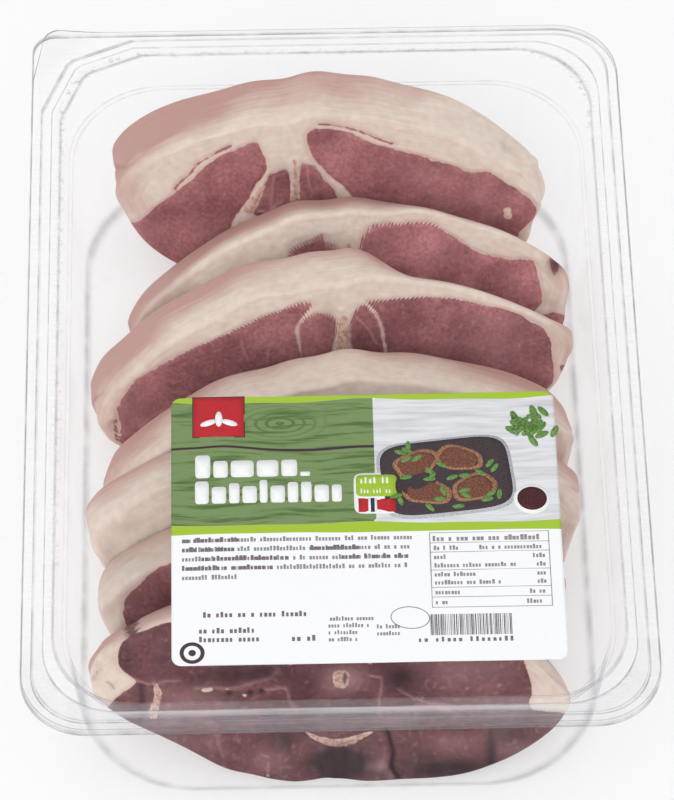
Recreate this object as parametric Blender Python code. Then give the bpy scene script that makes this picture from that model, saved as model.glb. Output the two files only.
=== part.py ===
"""Sealed meat tray pack: a clear thermoformed tray with seven double loin chops laid in it
like shingles, a clear lid film sealed to its flange, and a printed label on the film.

Sizes are in millimetres and turned to metres when a mesh is made. X runs across the pack,
Y from its front to its back and Z up from the surface that it stands on. The origin is at
the middle of the pack's footprint.
"""

import math
from collections import namedtuple

import bmesh
import bpy
import numpy as np

MM = 0.001

# Tray
WIDTH = 190.0
LENGTH = 265.0
DEPTH = 63.0
WALL = 0.6
LIP_DROP = 0.8
LIP_HEIGHT = 2.4
LIP_REACH = 3.4
STEP_RUN = 0.5
LAND_INSET = 9.8
SHOULDER_DEPTH = 14.0
SHOULDER_INSET = 11.6
SHOULDER_RUN = 1.0
BASE_INSET = 14.5
BASE_EDGE = 4.0
RIM_CORNER = 20.0
PEEL_CORNER = 7.0
PEEL_FACET = 30.0
MOUTH_CORNER = 26.0
SHOULDER_CORNER = 30.0
BASE_CORNER = 36.0
CORNER_STEPS = 7

# Lid film and label
TOUCH_GAP = 0.3
FILM = 0.3
FILM_INSET = 0.4
TAB_LIFT = 1.6
LABEL = 0.25
LABEL_LEFT = -50.0
LABEL_RIGHT = 67.5
LABEL_FRONT = -111.0
LABEL_BACK = -14.5
LABEL_CORNER = 3.0

# Chops
CHOP_MIDDLE = 32.0
CHOP_NOTCH = 57.0
CHOP_POINTS = 56
CHOP_EDGE = 2.4
NEIGHBOUR_GAP = 1.5
FLOOR_GAP = 0.5
SOFTNESS = 1.5
WOBBLE = 0.7
EYE_ACROSS = 34.0
EYE_DOWN = 23.0
EYE_HEIGHT = 0.9
SPINE_DIP = 0.8
BACK_CHANGE = (8.0, 31.0)

# One side of a chop's face: how far out its end reaches, how far down the end lies, and how
# far out the lower corner is.
Side = namedtuple("Side", "reach fall low")

# A chop is placed by the middle of its face's top edge, measured from the middle of the rim.
# lean is its face from the horizontal, turn its turn about Z, roll its turn in its own face,
# back the way its thickness runs from the vertical and back_right the same on the right,
# changing between the two widths of BACK_CHANGE. thick is its thickness in the middle,
# and thick_left and thick_right at its ends. tall is its face from top to foot.
Chop = namedtuple(
    "Chop",
    "x y z lean turn roll back back_right left right tall thick thick_left thick_right",
)

CHOPS = [
    Chop(0, 98, -2, 69, 0, 0, 76, 76, Side(69, 27, 50), Side(71, 33, 60), 62, 22, 25, 14),
    Chop(3, 70, -16, 56, 4, 3, 50, 36, Side(70, 33, 50), Side(74, 33, 60), 61, 22, 22, 22),
    Chop(-2, 34, -6, 67, 7, 2, 66, 38, Side(77, 36, 55), Side(77, 34, 62), 61, 22, 24, 22),
    Chop(0, 1, -14, 60, 6, 1, 62, 62, Side(75, 33, 55), Side(75, 30, 62), 61, 22, 22, 22),
    Chop(0, -26, -10, 60, 3, 1, 62, 62, Side(78, 24, 52), Side(77, 27, 62), 61, 22, 22, 22),
    Chop(0, -54, -9, 60, 1, 0, 62, 62, Side(73, 26, 55), Side(71, 30, 60), 61, 22, 22, 22),
    Chop(-3, -82, -5, 58.5, 0, 0, 43, 43, Side(74, 24, 28), Side(72, 36, 48), 66, 22, 22, 22),
]


def clear_scene():
    for obj in list(bpy.data.objects):
        bpy.data.objects.remove(obj, do_unlink=True)


def material(name, colour, roughness, alpha=1.0):
    """A plain finish: base colour as linear red, green and blue."""
    made = bpy.data.materials.new(name)
    made.use_nodes = True
    shader = made.node_tree.nodes["Principled BSDF"]
    shader.inputs["Base Color"].default_value = (*colour, 1.0)
    shader.inputs["Roughness"].default_value = roughness
    shader.inputs["Metallic"].default_value = 0.0
    shader.inputs["Alpha"].default_value = alpha
    return made


def add_node(name, bm, finish):
    """Turns a bmesh in millimetres into a smooth-shaded object in metres."""
    bmesh.ops.scale(bm, vec=(MM, MM, MM), verts=bm.verts)
    bmesh.ops.recalc_face_normals(bm, faces=bm.faces)
    mesh = bpy.data.meshes.new(name)
    bm.to_mesh(mesh)
    bm.free()
    mesh.shade_smooth()
    mesh.set_sharp_from_angle(angle=math.radians(35))
    mesh.materials.append(finish)
    obj = bpy.data.objects.new(name, mesh)
    bpy.context.scene.collection.objects.link(obj)
    return obj


def rings_to_bmesh(rings, closed):
    """Joins rings of points, each an (n, 3) array, with quads. A closed stack joins its last
    ring to its first; an open one is shut by a fan to the middle of each end ring."""
    bm = bmesh.new()
    count = len(rings[0])
    loops = [[bm.verts.new(point) for point in ring] for ring in rings]
    pairs = list(zip(loops, loops[1:]))
    if closed:
        pairs.append((loops[-1], loops[0]))
    for lower, upper in pairs:
        for i in range(count):
            j = (i + 1) % count
            bm.faces.new((lower[i], lower[j], upper[j], upper[i]))
    if not closed:
        for ring, loop in ((rings[0], loops[0]), (rings[-1], loops[-1])):
            middle = bm.verts.new(ring.mean(axis=0))
            for i in range(count):
                bm.faces.new((loop[i], loop[(i + 1) % count], middle))
    return bm


def rounded_ring(left, right, front, back, corners, z, facets=None):
    """Points round a rectangle with an arc at each corner, from the back right corner
    anticlockwise. corners gives the four radii: back right, back left, front left, front
    right. facets names a corner whose arc is two straight chamfers instead."""
    places = ((right, back, 0), (left, back, 90), (left, front, 180), (right, front, 270))
    signs = ((-1, -1), (1, -1), (1, 1), (-1, 1))
    points = []
    for k, ((x, y, start), (sx, sy), radius) in enumerate(zip(places, signs, corners)):
        angles = np.radians(np.linspace(start, start + 90, CORNER_STEPS))
        across, along = np.cos(angles), np.sin(angles)
        if k == facets:
            ends = np.radians((start, start + 45, start + 90))
            across = np.interp(angles, ends, np.cos(ends))
            along = np.interp(angles, ends, np.sin(ends))
        centre_x, centre_y = x + sx * radius, y + sy * radius
        points += zip(centre_x + radius * across, centre_y + radius * along)
    return np.array([(x, y, z) for x, y in points])


def tray_ring(inset, height, corner, peel, facets=None):
    """A ring of the tray at an inset from its outer edge and a height from its rim."""
    half_x, half_y = WIDTH / 2 - inset, LENGTH / 2 - inset
    corners = (corner, peel, corner, corner)
    return rounded_ring(-half_x, half_x, -half_y, half_y, corners, DEPTH + height, facets)


def base_edge(inset, height, radius, steps=4):
    """(inset, height) down the rounded edge between the wall and the floor."""
    turn = np.radians(np.linspace(0, 90, steps))
    return [
        (inset + radius * (1 - math.cos(a)), height + radius * (1 - math.sin(a))) for a in turn
    ]


def build_tray():
    """The sheet is drawn once on its food side and once, a wall further out, on its outside.
    The two skins meet round the foot of the flange's turned-down lip."""
    peel_land = PEEL_FACET - LIP_REACH
    step = LIP_REACH + STEP_RUN
    ledge = SHOULDER_INSET + SHOULDER_RUN
    top = [
        tray_ring(0, -LIP_HEIGHT, RIM_CORNER, PEEL_CORNER),
        tray_ring(0, -LIP_DROP, RIM_CORNER, PEEL_CORNER),
        tray_ring(LIP_REACH, -LIP_DROP, RIM_CORNER - LIP_REACH, PEEL_FACET, 1),
        tray_ring(step, 0, RIM_CORNER - step, peel_land + LIP_REACH, 1),
        tray_ring(LAND_INSET, 0, MOUTH_CORNER - 4, MOUTH_CORNER, 1),
        tray_ring(SHOULDER_INSET + WALL, -SHOULDER_DEPTH + WALL, SHOULDER_CORNER, SHOULDER_CORNER),
        tray_ring(ledge + WALL, -SHOULDER_DEPTH, SHOULDER_CORNER, SHOULDER_CORNER),
    ]
    for inset, height in base_edge(BASE_INSET + WALL, WALL - DEPTH, BASE_EDGE - WALL):
        top.append(tray_ring(inset, height, BASE_CORNER, BASE_CORNER))
    under = [
        tray_ring(WALL, -LIP_HEIGHT, RIM_CORNER - WALL, PEEL_CORNER - WALL),
        tray_ring(WALL, -LIP_DROP - WALL, RIM_CORNER - WALL, PEEL_CORNER - WALL),
        tray_ring(LIP_REACH + WALL, -LIP_DROP - WALL, RIM_CORNER - LIP_REACH, PEEL_FACET, 1),
        tray_ring(step + WALL, -WALL, RIM_CORNER - step, peel_land + LIP_REACH, 1),
        tray_ring(LAND_INSET - WALL, -WALL, MOUTH_CORNER - 4, MOUTH_CORNER, 1),
        tray_ring(SHOULDER_INSET, -SHOULDER_DEPTH, SHOULDER_CORNER, SHOULDER_CORNER),
        tray_ring(ledge, -SHOULDER_DEPTH - WALL, SHOULDER_CORNER, SHOULDER_CORNER),
    ]
    for inset, height in base_edge(BASE_INSET, -DEPTH, BASE_EDGE):
        under.append(tray_ring(inset, height, BASE_CORNER, BASE_CORNER))
    rings = top[::-1] + under
    finish = material("clear_tray_sheet", (0.86, 0.89, 0.91), 0.08, alpha=0.3)
    return add_node("tray", rings_to_bmesh(rings, closed=False), finish)


def plate(rings, thickness):
    """A thin sheet from rings of its underside, outermost first: the same rings a thickness
    up make its top side."""
    upper = [ring + (0, 0, thickness) for ring in rings]
    return rings_to_bmesh(rings[::-1] + upper, closed=False)


def build_film():
    """The lid film covers the flange. Its back left corner lies loose past the flange's
    chamfers and lifts, as a tab to peel it by."""
    base = TOUCH_GAP
    outer = tray_ring(FILM_INSET, base, RIM_CORNER - FILM_INSET, PEEL_CORNER)
    fold = tray_ring(LIP_REACH, base, RIM_CORNER - LIP_REACH, PEEL_FACET, 1)
    inner = tray_ring(LAND_INSET, base, MOUTH_CORNER, MOUTH_CORNER)
    loose = np.hypot(*(outer - fold)[:, :2].T)
    reach = (loose - loose.min()) / (loose.max() - loose.min())
    outer[:, 2] += TAB_LIFT * reach**1.5
    finish = material("clear_lid_film", (0.9, 0.92, 0.94), 0.05, alpha=0.15)
    return add_node("lid_film", plate([outer, fold, inner], FILM), finish)


def build_label():
    base = DEPTH + TOUCH_GAP + FILM + TOUCH_GAP
    corners = [LABEL_CORNER] * 4
    edge = rounded_ring(LABEL_LEFT, LABEL_RIGHT, LABEL_FRONT, LABEL_BACK, corners, base)
    finish = material("printed_paper_label", (0.6, 0.72, 0.5), 0.4)
    return add_node("label", plate([edge], LABEL), finish)


def side_points(side, tall):
    """(across, down) points of one side of a chop's face from near its top to its foot."""
    reach, fall, low = side
    corner = fall + 10
    return [
        (0.31 * reach, 0.07 * fall),
        (0.58 * reach, 0.27 * fall),
        (0.80 * reach, 0.54 * fall),
        (0.95 * reach, 0.84 * fall),
        (reach, fall + 2),
        (0.965 * reach, corner),
        (0.5 * (reach + low) + 1, 0.55 * corner + 0.45 * tall),
        (low, tall - 4),
        (0.66 * low, tall),
        (0.2 * low, tall - 0.5),
    ]


def closed_curve(angles, radii, at):
    """A smooth closed radius through the given points, by cubic pieces whose slope at each
    point is that between its two neighbours."""
    order = np.argsort(angles)
    angles, radii = angles[order], radii[order]
    full = 2 * math.pi
    a = np.concatenate([angles[-2:] - full, angles, angles[:2] + full])
    r = np.concatenate([radii[-2:], radii, radii[:2]])
    slope = np.gradient(r, a)
    i = np.clip(np.searchsorted(a, at, side="right") - 1, 0, len(a) - 2)
    run = a[i + 1] - a[i]
    s = (at - a[i]) / run
    return (
        (2 * s**3 - 3 * s**2 + 1) * r[i]
        + (s**3 - 2 * s**2 + s) * run * slope[i]
        + (3 * s**2 - 2 * s**3) * r[i + 1]
        + (s**3 - s**2) * run * slope[i + 1]
    )


def chop_outline(chop, number):
    """(across, down) of the face's outline at even angles about its middle. Two slow waves,
    shifted from chop to chop, keep the cut uneven."""
    right = side_points(chop.right, chop.tall)
    left = [(-across, down) for across, down in side_points(chop.left, chop.tall)]
    notch = CHOP_NOTCH + chop.tall - 61
    points = np.array([(0, 0)] + right + [(0, notch)] + left[::-1])
    across, down = points[:, 0], points[:, 1] - CHOP_MIDDLE
    at = np.linspace(-math.pi, math.pi, CHOP_POINTS, endpoint=False)
    radius = closed_curve(np.arctan2(across, -down), np.hypot(across, down), at)
    wave = np.sin(5 * at + 1.7 * number) + 0.6 * np.sin(11 * at + 2.9 * number)
    radius = radius + WOBBLE * (wave - 1.0)
    return np.stack([radius * np.sin(at), CHOP_MIDDLE - radius * np.cos(at)], axis=-1)


def chop_frame(chop):
    """Where the chop's face is: its place, and unit vectors across it, down it and out of
    it."""
    lean, turn, roll = np.radians((chop.lean, chop.turn, chop.roll))
    up = np.array([0.0, 0.0, 1.0])
    rear = np.array([-math.sin(turn), math.cos(turn), 0.0])
    side = np.array([math.cos(turn), math.sin(turn), 0.0])
    slope = -math.cos(lean) * rear - math.sin(lean) * up
    across = math.cos(roll) * side - math.sin(roll) * slope
    down = math.sin(roll) * side + math.cos(roll) * slope
    out = np.cross(down, across)
    place = np.array([chop.x, chop.y, DEPTH + chop.z], float)
    return place, across, down, out


def way_through(chop, u):
    """The way back through the chop's thickness at u across its face, as unit vectors: back
    degrees from straight down on the left, and back_right degrees on the right."""
    start, stop = BACK_CHANGE
    share = np.clip((u - start) / (stop - start), 0, 1)
    back = chop.back + (chop.back_right - chop.back) * share**2 * (3 - 2 * share)
    turn = math.radians(chop.turn)
    rear = np.array([-math.sin(turn), math.cos(turn), 0.0])
    back = np.radians(back)[..., None]
    return np.sin(back) * rear - np.cos(back) * np.array([0.0, 0.0, 1.0])


def soft_least(a, b):
    """The lesser of two values, with the change from one to the other rounded off."""
    return -SOFTNESS * np.logaddexp(-a / SOFTNESS, -b / SOFTNESS)


def face_relief(points):
    """How far the face stands out: two low swells over the loin eyes and a dip at the spine."""
    across, down = points[:, 0], points[:, 1] - EYE_DOWN
    swell = np.exp(-(((np.abs(across) - EYE_ACROSS) / 20) ** 2) - (down / 12) ** 2)
    dip = np.exp(-((across / 7) ** 2) - (down / 14) ** 2)
    return EYE_HEIGHT * swell - SPINE_DIP * dip


def chop_layer(chop, behind, points, depth):
    """Places (across, down) points of the face in the pack. depth runs from 0 on the face to
    1 on the back, which lies against the face of the chop behind. The foot flattens on the
    tray's floor."""
    place, across, down, out = chop_frame(chop)
    through = way_through(chop, points[:, 0])
    u, v = points[:, :1], points[:, 1:]
    face = place + u * across + v * down
    reach = np.where(u < 0, chop.left.reach, chop.right.reach)
    end = np.where(u < 0, chop.thick_left, chop.thick_right)
    thick = chop.thick + (end - chop.thick) * np.minimum(np.abs(u) / reach, 1) ** 2
    if behind:
        wall, _, _, wall_out = chop_frame(behind)
        room = (wall - face) @ wall_out / (through @ wall_out) - NEIGHBOUR_GAP
        thick = soft_least(thick, room[:, None])
    start = place + depth * thick * through
    floor = WALL + FLOOR_GAP
    lowest = (start[:, 2:] + u * across[2] - floor) / -down[2]
    return start + u * across + soft_least(v, lowest) * down


def build_chop(number, chop, behind, finish):
    """Rings run from the middle of the face out to its edge, round the edge, back along the
    skin and in again to the middle of the back."""
    outline = chop_outline(chop, number)
    middle = np.array([0.0, CHOP_MIDDLE])
    edge = CHOP_EDGE / chop.thick
    steps = [
        (0.3, 0), (0.58, 0), (0.8, 0), (0.93, 0), (0.985, 0.3 * edge), (1.0, edge),
        (1.0, 0.5), (1.0, 1 - edge), (0.985, 1 - 0.3 * edge), (0.9, 1), (0.5, 1),
    ]
    out = chop_frame(chop)[3]
    rings = []
    for share, depth in steps:
        points = middle + share * (outline - middle)
        ring = chop_layer(chop, behind, points, depth)
        if depth == 0:
            ring = ring + face_relief(points)[:, None] * out
        rings.append(ring)
    return add_node(f"chop_{number}", rings_to_bmesh(rings, closed=False), finish)


def main():
    clear_scene()
    build_tray()
    build_film()
    build_label()
    meat = material("raw_lamb", (0.27, 0.11, 0.11), 0.45)
    behind = None
    for number, chop in enumerate(CHOPS, start=1):
        build_chop(number, chop, behind, meat)
        behind = chop


main()
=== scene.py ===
"""Looks of the sealed meat tray pack: a clear thermoformed tray, seven double loin chops laid
like shingles, a clear lid film with a peel corner, and a printed label.

Sizes are in millimetres and turned to metres when a mesh is made. The origin is the middle
of the pack's footprint, with +X to the right, +Y to the back and +Z up.
"""

import math
from collections import namedtuple

import bpy
import numpy as np
from mathutils import Matrix


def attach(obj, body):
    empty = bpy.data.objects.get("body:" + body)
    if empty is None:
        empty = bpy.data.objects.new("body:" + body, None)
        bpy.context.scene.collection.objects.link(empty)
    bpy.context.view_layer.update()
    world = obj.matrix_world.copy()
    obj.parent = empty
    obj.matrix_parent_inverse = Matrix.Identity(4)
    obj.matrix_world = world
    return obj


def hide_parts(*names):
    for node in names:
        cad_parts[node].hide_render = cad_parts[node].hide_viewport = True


MM = 0.001

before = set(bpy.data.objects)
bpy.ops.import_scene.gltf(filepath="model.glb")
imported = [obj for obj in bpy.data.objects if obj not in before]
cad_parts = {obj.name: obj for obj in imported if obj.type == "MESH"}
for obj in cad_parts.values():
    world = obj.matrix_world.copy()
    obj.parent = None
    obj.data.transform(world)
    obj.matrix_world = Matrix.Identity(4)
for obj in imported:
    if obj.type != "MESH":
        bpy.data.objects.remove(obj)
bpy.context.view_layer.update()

# Tray, as in the part's source
WIDTH = 190.0
LENGTH = 265.0
DEPTH = 63.0
WALL = 0.6
LIP_DROP = 0.8
LIP_HEIGHT = 2.4
LIP_REACH = 3.4
STEP_RUN = 0.5
LAND_INSET = 9.8
SHOULDER_DEPTH = 14.0
SHOULDER_INSET = 11.6
SHOULDER_RUN = 1.0
BASE_INSET = 14.5
BASE_EDGE = 4.0
RIM_CORNER = 20.0
PEEL_CORNER = 7.0
PEEL_FACET = 30.0
MOUTH_CORNER = 26.0
SHOULDER_CORNER = 30.0
BASE_CORNER = 36.0
FILM_INSET = 0.4
FILM_SHEET = 0.08
FILM_LIFT = 0.25
SLACK_REACH = 22
SLACK_RISE = 0.45
TAB_REACH = 24
TAB_LIFT = 1.5

# Label, as in the part's source
LABEL_LEFT = -50.0
LABEL_RIGHT = 67.5
LABEL_FRONT = -111.0
LABEL_BACK = -14.5
LABEL_CORNER = 3.0

# Chops, as in the part's source
CHOP_MIDDLE = 32.0
CHOP_NOTCH = 57.0
CHOP_TALL = 61
CHOP_EDGE = 2.2
NEIGHBOUR_GAP = 1.2
FLOOR_GAP = 0.5
SOFTNESS = 1.5
WOBBLE = 0.7
EYE_ACROSS = 34.0
EYE_DOWN = 23.0
EYE_HEIGHT = 0.9
SPINE_DIP = 0.8
BACK_CHANGE = (8.0, 31.0)

# The share of a face's radius that its rounded edge takes, how far the outlines in the face
# are shaken and over what length, and how far round from the top the saw's notches reach, in
# radians
EDGE_SHARE = CHOP_EDGE / 56
SHAKE = 0.45
SHAKE_SIZE = 5
SAW_REACH = 1.25

Side = namedtuple("Side", "reach fall low")
Chop = namedtuple(
    "Chop",
    "x y z lean turn roll back back_right left right tall thick thick_left thick_right",
)
CHOPS = [
    Chop(0, 98, -2, 69, 0, 0, 76, 76, Side(69, 27, 50), Side(71, 33, 60), 62, 22, 25, 14),
    Chop(3, 70, -16, 56, 4, 3, 50, 36, Side(70, 33, 50), Side(74, 33, 60), 61, 22, 22, 22),
    Chop(-2, 34, -6, 67, 7, 2, 66, 38, Side(77, 36, 55), Side(77, 34, 62), 61, 22, 24, 22),
    Chop(0, 1, -14, 60, 6, 1, 62, 62, Side(75, 33, 55), Side(75, 30, 62), 61, 22, 22, 22),
    Chop(0, -26, -10, 60, 3, 1, 62, 62, Side(78, 24, 52), Side(77, 27, 62), 61, 22, 22, 22),
    Chop(0, -54, -9, 60, 1, 0, 62, 62, Side(73, 26, 55), Side(71, 30, 60), 61, 22, 22, 22),
    Chop(-3, -82, -5, 58.5, 0, 0, 43, 43, Side(74, 24, 28), Side(72, 36, 48), 66, 22, 22, 22),
]


def hex_colour(code):
    """sRGB hex to the linear red, green, blue and alpha that a shader takes."""
    parts = [int(code[i : i + 2], 16) / 255 for i in (1, 3, 5)]
    return (*[p / 12.92 if p <= 0.04045 else ((p + 0.055) / 1.055) ** 2.4 for p in parts], 1.0)


def add(tree, kind, inputs=None, out=0, **settings):
    """Adds a shader node, sets it, fills its inputs with values or links, and returns one
    of its outputs, if it has any."""
    made = tree.nodes.new("ShaderNode" + kind)
    for key, value in settings.items():
        setattr(made, key, value)
    for key, value in (inputs or {}).items():
        if isinstance(value, bpy.types.NodeSocket):
            tree.links.new(value, made.inputs[key])
        else:
            made.inputs[key].default_value = value
    return made.outputs[out] if made.outputs else None


# What a Mix node of colours is asked for: it takes its share at 0 and the colours at 6 and 7.
COLOURS = {"out": 2, "data_type": "RGBA"}


def new_material(name):
    """An empty node material and its tree."""
    made = bpy.data.materials.new(name)
    made.use_nodes = True
    made.node_tree.nodes.clear()
    return made, made.node_tree


def per(size):
    """Cells per metre for a pattern whose cells are this many millimetres wide."""
    return 1000 / size


def mesh_piece(name, points, quads, triangles=(), values=None, smooth=True):
    """Makes an object from arrays: points in millimetres, faces as rows of point numbers,
    and one named float per point for each entry of values."""
    mesh = bpy.data.meshes.new(name)
    quads = np.asarray(quads, np.int32).reshape(-1, 4)
    triangles = np.asarray(triangles, np.int32).reshape(-1, 3)
    corners = np.concatenate([quads.ravel(), triangles.ravel()])
    starts = np.concatenate(
        [np.arange(len(quads)) * 4, len(quads) * 4 + np.arange(len(triangles)) * 3]
    )
    mesh.vertices.add(len(points))
    mesh.vertices.foreach_set("co", (np.asarray(points) * MM).astype(np.float32).ravel())
    mesh.loops.add(len(corners))
    mesh.loops.foreach_set("vertex_index", corners)
    mesh.polygons.add(len(starts))
    mesh.polygons.foreach_set("loop_start", starts.astype(np.int32))
    for key, numbers in (values or {}).items():
        layer = mesh.attributes.new(key, "FLOAT", "POINT")
        layer.data.foreach_set("value", np.asarray(numbers, np.float32).ravel())
    mesh.update(calc_edges=True)
    mesh.validate()
    if smooth:
        mesh.shade_smooth()
    obj = bpy.data.objects.new(name, mesh)
    bpy.context.scene.collection.objects.link(obj)
    return obj


def tube_faces(rows, columns):
    """Quads between the rows of a grid whose columns close on themselves."""
    i = np.arange(rows - 1)[:, None] * columns
    j = np.arange(columns)[None, :]
    k = (j + 1) % columns
    return np.stack([i + j, i + k, i + columns + k, i + columns + j], axis=-1).reshape(-1, 4)


def fan_faces(rows, columns):
    """Triangles that shut the first and last rows round two further points, numbered after
    the grid's own."""
    j = np.arange(columns)
    k = (j + 1) % columns
    first, last = rows * columns, rows * columns + 1
    end = (rows - 1) * columns
    front = np.stack([k, j, np.full(columns, first)], axis=-1)
    rear = np.stack([end + j, end + k, np.full(columns, last)], axis=-1)
    return np.concatenate([front, rear])


def closed_piece(name, grid, values, finish):
    """Makes a piece from a grid of closed rings, shut at both ends round the middle of the
    first and the last ring. values has one number per point of the grid, and each middle
    gets the mean of its ring."""
    piece = mesh_piece(
        name,
        np.concatenate([grid.reshape(-1, 3), [grid[0].mean(axis=0), grid[-1].mean(axis=0)]]),
        tube_faces(*grid.shape[:2]),
        fan_faces(*grid.shape[:2]),
        {
            key: np.append(numbers.ravel(), [numbers[0].mean(), numbers[-1].mean()])
            for key, numbers in values.items()
        },
    )
    piece.data.materials.append(finish)
    return piece


def lattice(x, y, seed):
    """Smooth random values from -1 to 1: one drawn for each whole-numbered place, and
    blended between the four round a point."""
    table = np.random.default_rng(seed).uniform(-1, 1, (64, 64))
    i, j = np.floor(x).astype(int), np.floor(y).astype(int)
    u, v = x - i, y - j
    u, v = u * u * (3 - 2 * u), v * v * (3 - 2 * v)
    low = table[i % 64, j % 64] * (1 - u) + table[(i + 1) % 64, j % 64] * u
    high = table[i % 64, (j + 1) % 64] * (1 - u) + table[(i + 1) % 64, (j + 1) % 64] * u
    return low * (1 - v) + high * v


def distance_to_side(x, y, a, b):
    """Distance to the straight line from a to b."""
    (ax, ay), dx, dy = a, b[0] - a[0], b[1] - a[1]
    s = np.clip(((x - ax) * dx + (y - ay) * dy) / (dx * dx + dy * dy + 1e-12), 0, 1)
    return np.hypot(x - ax - s * dx, y - ay - s * dy)


def distance_inside(x, y, outline):
    """Distance in from a closed outline, negative outside: the least distance to any of its
    sides, signed by how often a line from the point crosses them."""
    best = np.full(np.shape(x), 1e9)
    inside = np.zeros(np.shape(x), bool)
    for (ax, ay), (bx, by) in zip(outline, np.roll(outline, -1, axis=0)):
        best = np.minimum(best, distance_to_side(x, y, (ax, ay), (bx, by)))
        if ay != by:
            crosses = (ay > y) != (by > y)
            inside ^= crosses & (x < (bx - ax) * (y - ay) / (by - ay) + ax)
    return np.where(inside, best, -best)


def distance_to_path(x, y, path):
    """Distance to a run of straight lines."""
    return np.min([distance_to_side(x, y, a, b) for a, b in zip(path[:-1], path[1:])], axis=0)


def soft_least(a, b, softness=SOFTNESS):
    """The lesser of two values, with the change from one to the other rounded off."""
    return -softness * np.logaddexp(-a / softness, -b / softness)


def side_points(side, tall):
    """(across, down) points of one side of a chop's face from near its top to its foot."""
    reach, fall, low = side
    corner = fall + 10
    return [
        (0.31 * reach, 0.07 * fall),
        (0.58 * reach, 0.27 * fall),
        (0.80 * reach, 0.54 * fall),
        (0.95 * reach, 0.84 * fall),
        (reach, fall + 2),
        (0.965 * reach, corner),
        (0.5 * (reach + low) + 1, 0.55 * corner + 0.45 * tall),
        (low, tall - 4),
        (0.66 * low, tall),
        (0.2 * low, tall - 0.5),
    ]


def cubic(s, a, b, slope_a, slope_b):
    """The cubic from a to b as s runs from 0 to 1, with the given slopes at its ends."""
    return (
        (2 * s**3 - 3 * s**2 + 1) * a
        + (s**3 - 2 * s**2 + s) * slope_a
        + (3 * s**2 - 2 * s**3) * b
        + (s**3 - s**2) * slope_b
    )


def closed_curve(angles, radii, at):
    """A smooth closed radius through the given points, by cubic pieces whose slope at each
    point is that between its two neighbours."""
    order = np.argsort(angles)
    angles, radii = angles[order], radii[order]
    full = 2 * math.pi
    a = np.concatenate([angles[-2:] - full, angles, angles[:2] + full])
    r = np.concatenate([radii[-2:], radii, radii[:2]])
    slope = np.gradient(r, a)
    i = np.clip(np.searchsorted(a, at, side="right") - 1, 0, len(a) - 2)
    run = a[i + 1] - a[i]
    return cubic((at - a[i]) / run, r[i], r[i + 1], run * slope[i], run * slope[i + 1])


def chop_radius(chop, number, at):
    """The outline's distance from the face's middle at each angle, with two slow waves that
    keep the cut uneven."""
    right = side_points(chop.right, chop.tall)
    left = [(-across, down) for across, down in side_points(chop.left, chop.tall)]
    notch = CHOP_NOTCH + chop.tall - CHOP_TALL
    points = np.array([(0, 0)] + right + [(0, notch)] + left[::-1])
    across, down = points[:, 0], points[:, 1] - CHOP_MIDDLE
    radius = closed_curve(np.arctan2(across, -down), np.hypot(across, down), at)
    wave = np.sin(5 * at + 1.7 * number) + 0.6 * np.sin(11 * at + 2.9 * number)
    return radius + WOBBLE * (wave - 1.0)


def chop_frame(chop):
    """Where the chop's face is: its place, and unit vectors across it, down it and out of
    it."""
    lean, turn, roll = np.radians((chop.lean, chop.turn, chop.roll))
    up = np.array([0.0, 0.0, 1.0])
    rear = np.array([-math.sin(turn), math.cos(turn), 0.0])
    side = np.array([math.cos(turn), math.sin(turn), 0.0])
    slope = -math.cos(lean) * rear - math.sin(lean) * up
    across = math.cos(roll) * side - math.sin(roll) * slope
    down = math.sin(roll) * side + math.cos(roll) * slope
    out = np.cross(down, across)
    place = np.array([chop.x, chop.y, DEPTH + chop.z], float)
    return place, across, down, out


def way_through(chop, u):
    """The way back through the chop's thickness at u across its face, as unit vectors: back
    degrees from straight down on the left, and back_right degrees on the right."""
    start, stop = BACK_CHANGE
    share = np.clip((u - start) / (stop - start), 0, 1)
    back = chop.back + (chop.back_right - chop.back) * share**2 * (3 - 2 * share)
    turn = math.radians(chop.turn)
    rear = np.array([-math.sin(turn), math.cos(turn), 0.0])
    back = np.radians(back)[..., None]
    return np.sin(back) * rear - np.cos(back) * np.array([0.0, 0.0, 1.0])


def place_chop(chop, behind, u, v, depth):
    """Places points of the face, u across and v down, in the pack. depth runs from 0 on the
    face to 1 on the back, which lies against the face of the chop behind. The foot flattens
    on the tray's floor. Returns the points and the thickness at each."""
    place, across, down, _ = chop_frame(chop)
    through = way_through(chop, u)
    face = place + u[..., None] * across + v[..., None] * down
    reach = np.where(u < 0, chop.left.reach, chop.right.reach)
    end = np.where(u < 0, chop.thick_left, chop.thick_right)
    thick = chop.thick + (end - chop.thick) * np.minimum(np.abs(u) / reach, 1) ** 2
    if behind:
        wall, _, _, wall_out = chop_frame(behind)
        room = (wall - face) @ wall_out / (through @ wall_out) - NEIGHBOUR_GAP
        thick = soft_least(thick, room)
    start = place + (depth * thick)[..., None] * through
    floor = WALL + FLOOR_GAP
    lowest = (start[..., 2] + u * across[2] - floor) / -down[2]
    points = start + u[..., None] * across + soft_least(v, lowest)[..., None] * down
    return points, thick


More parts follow.
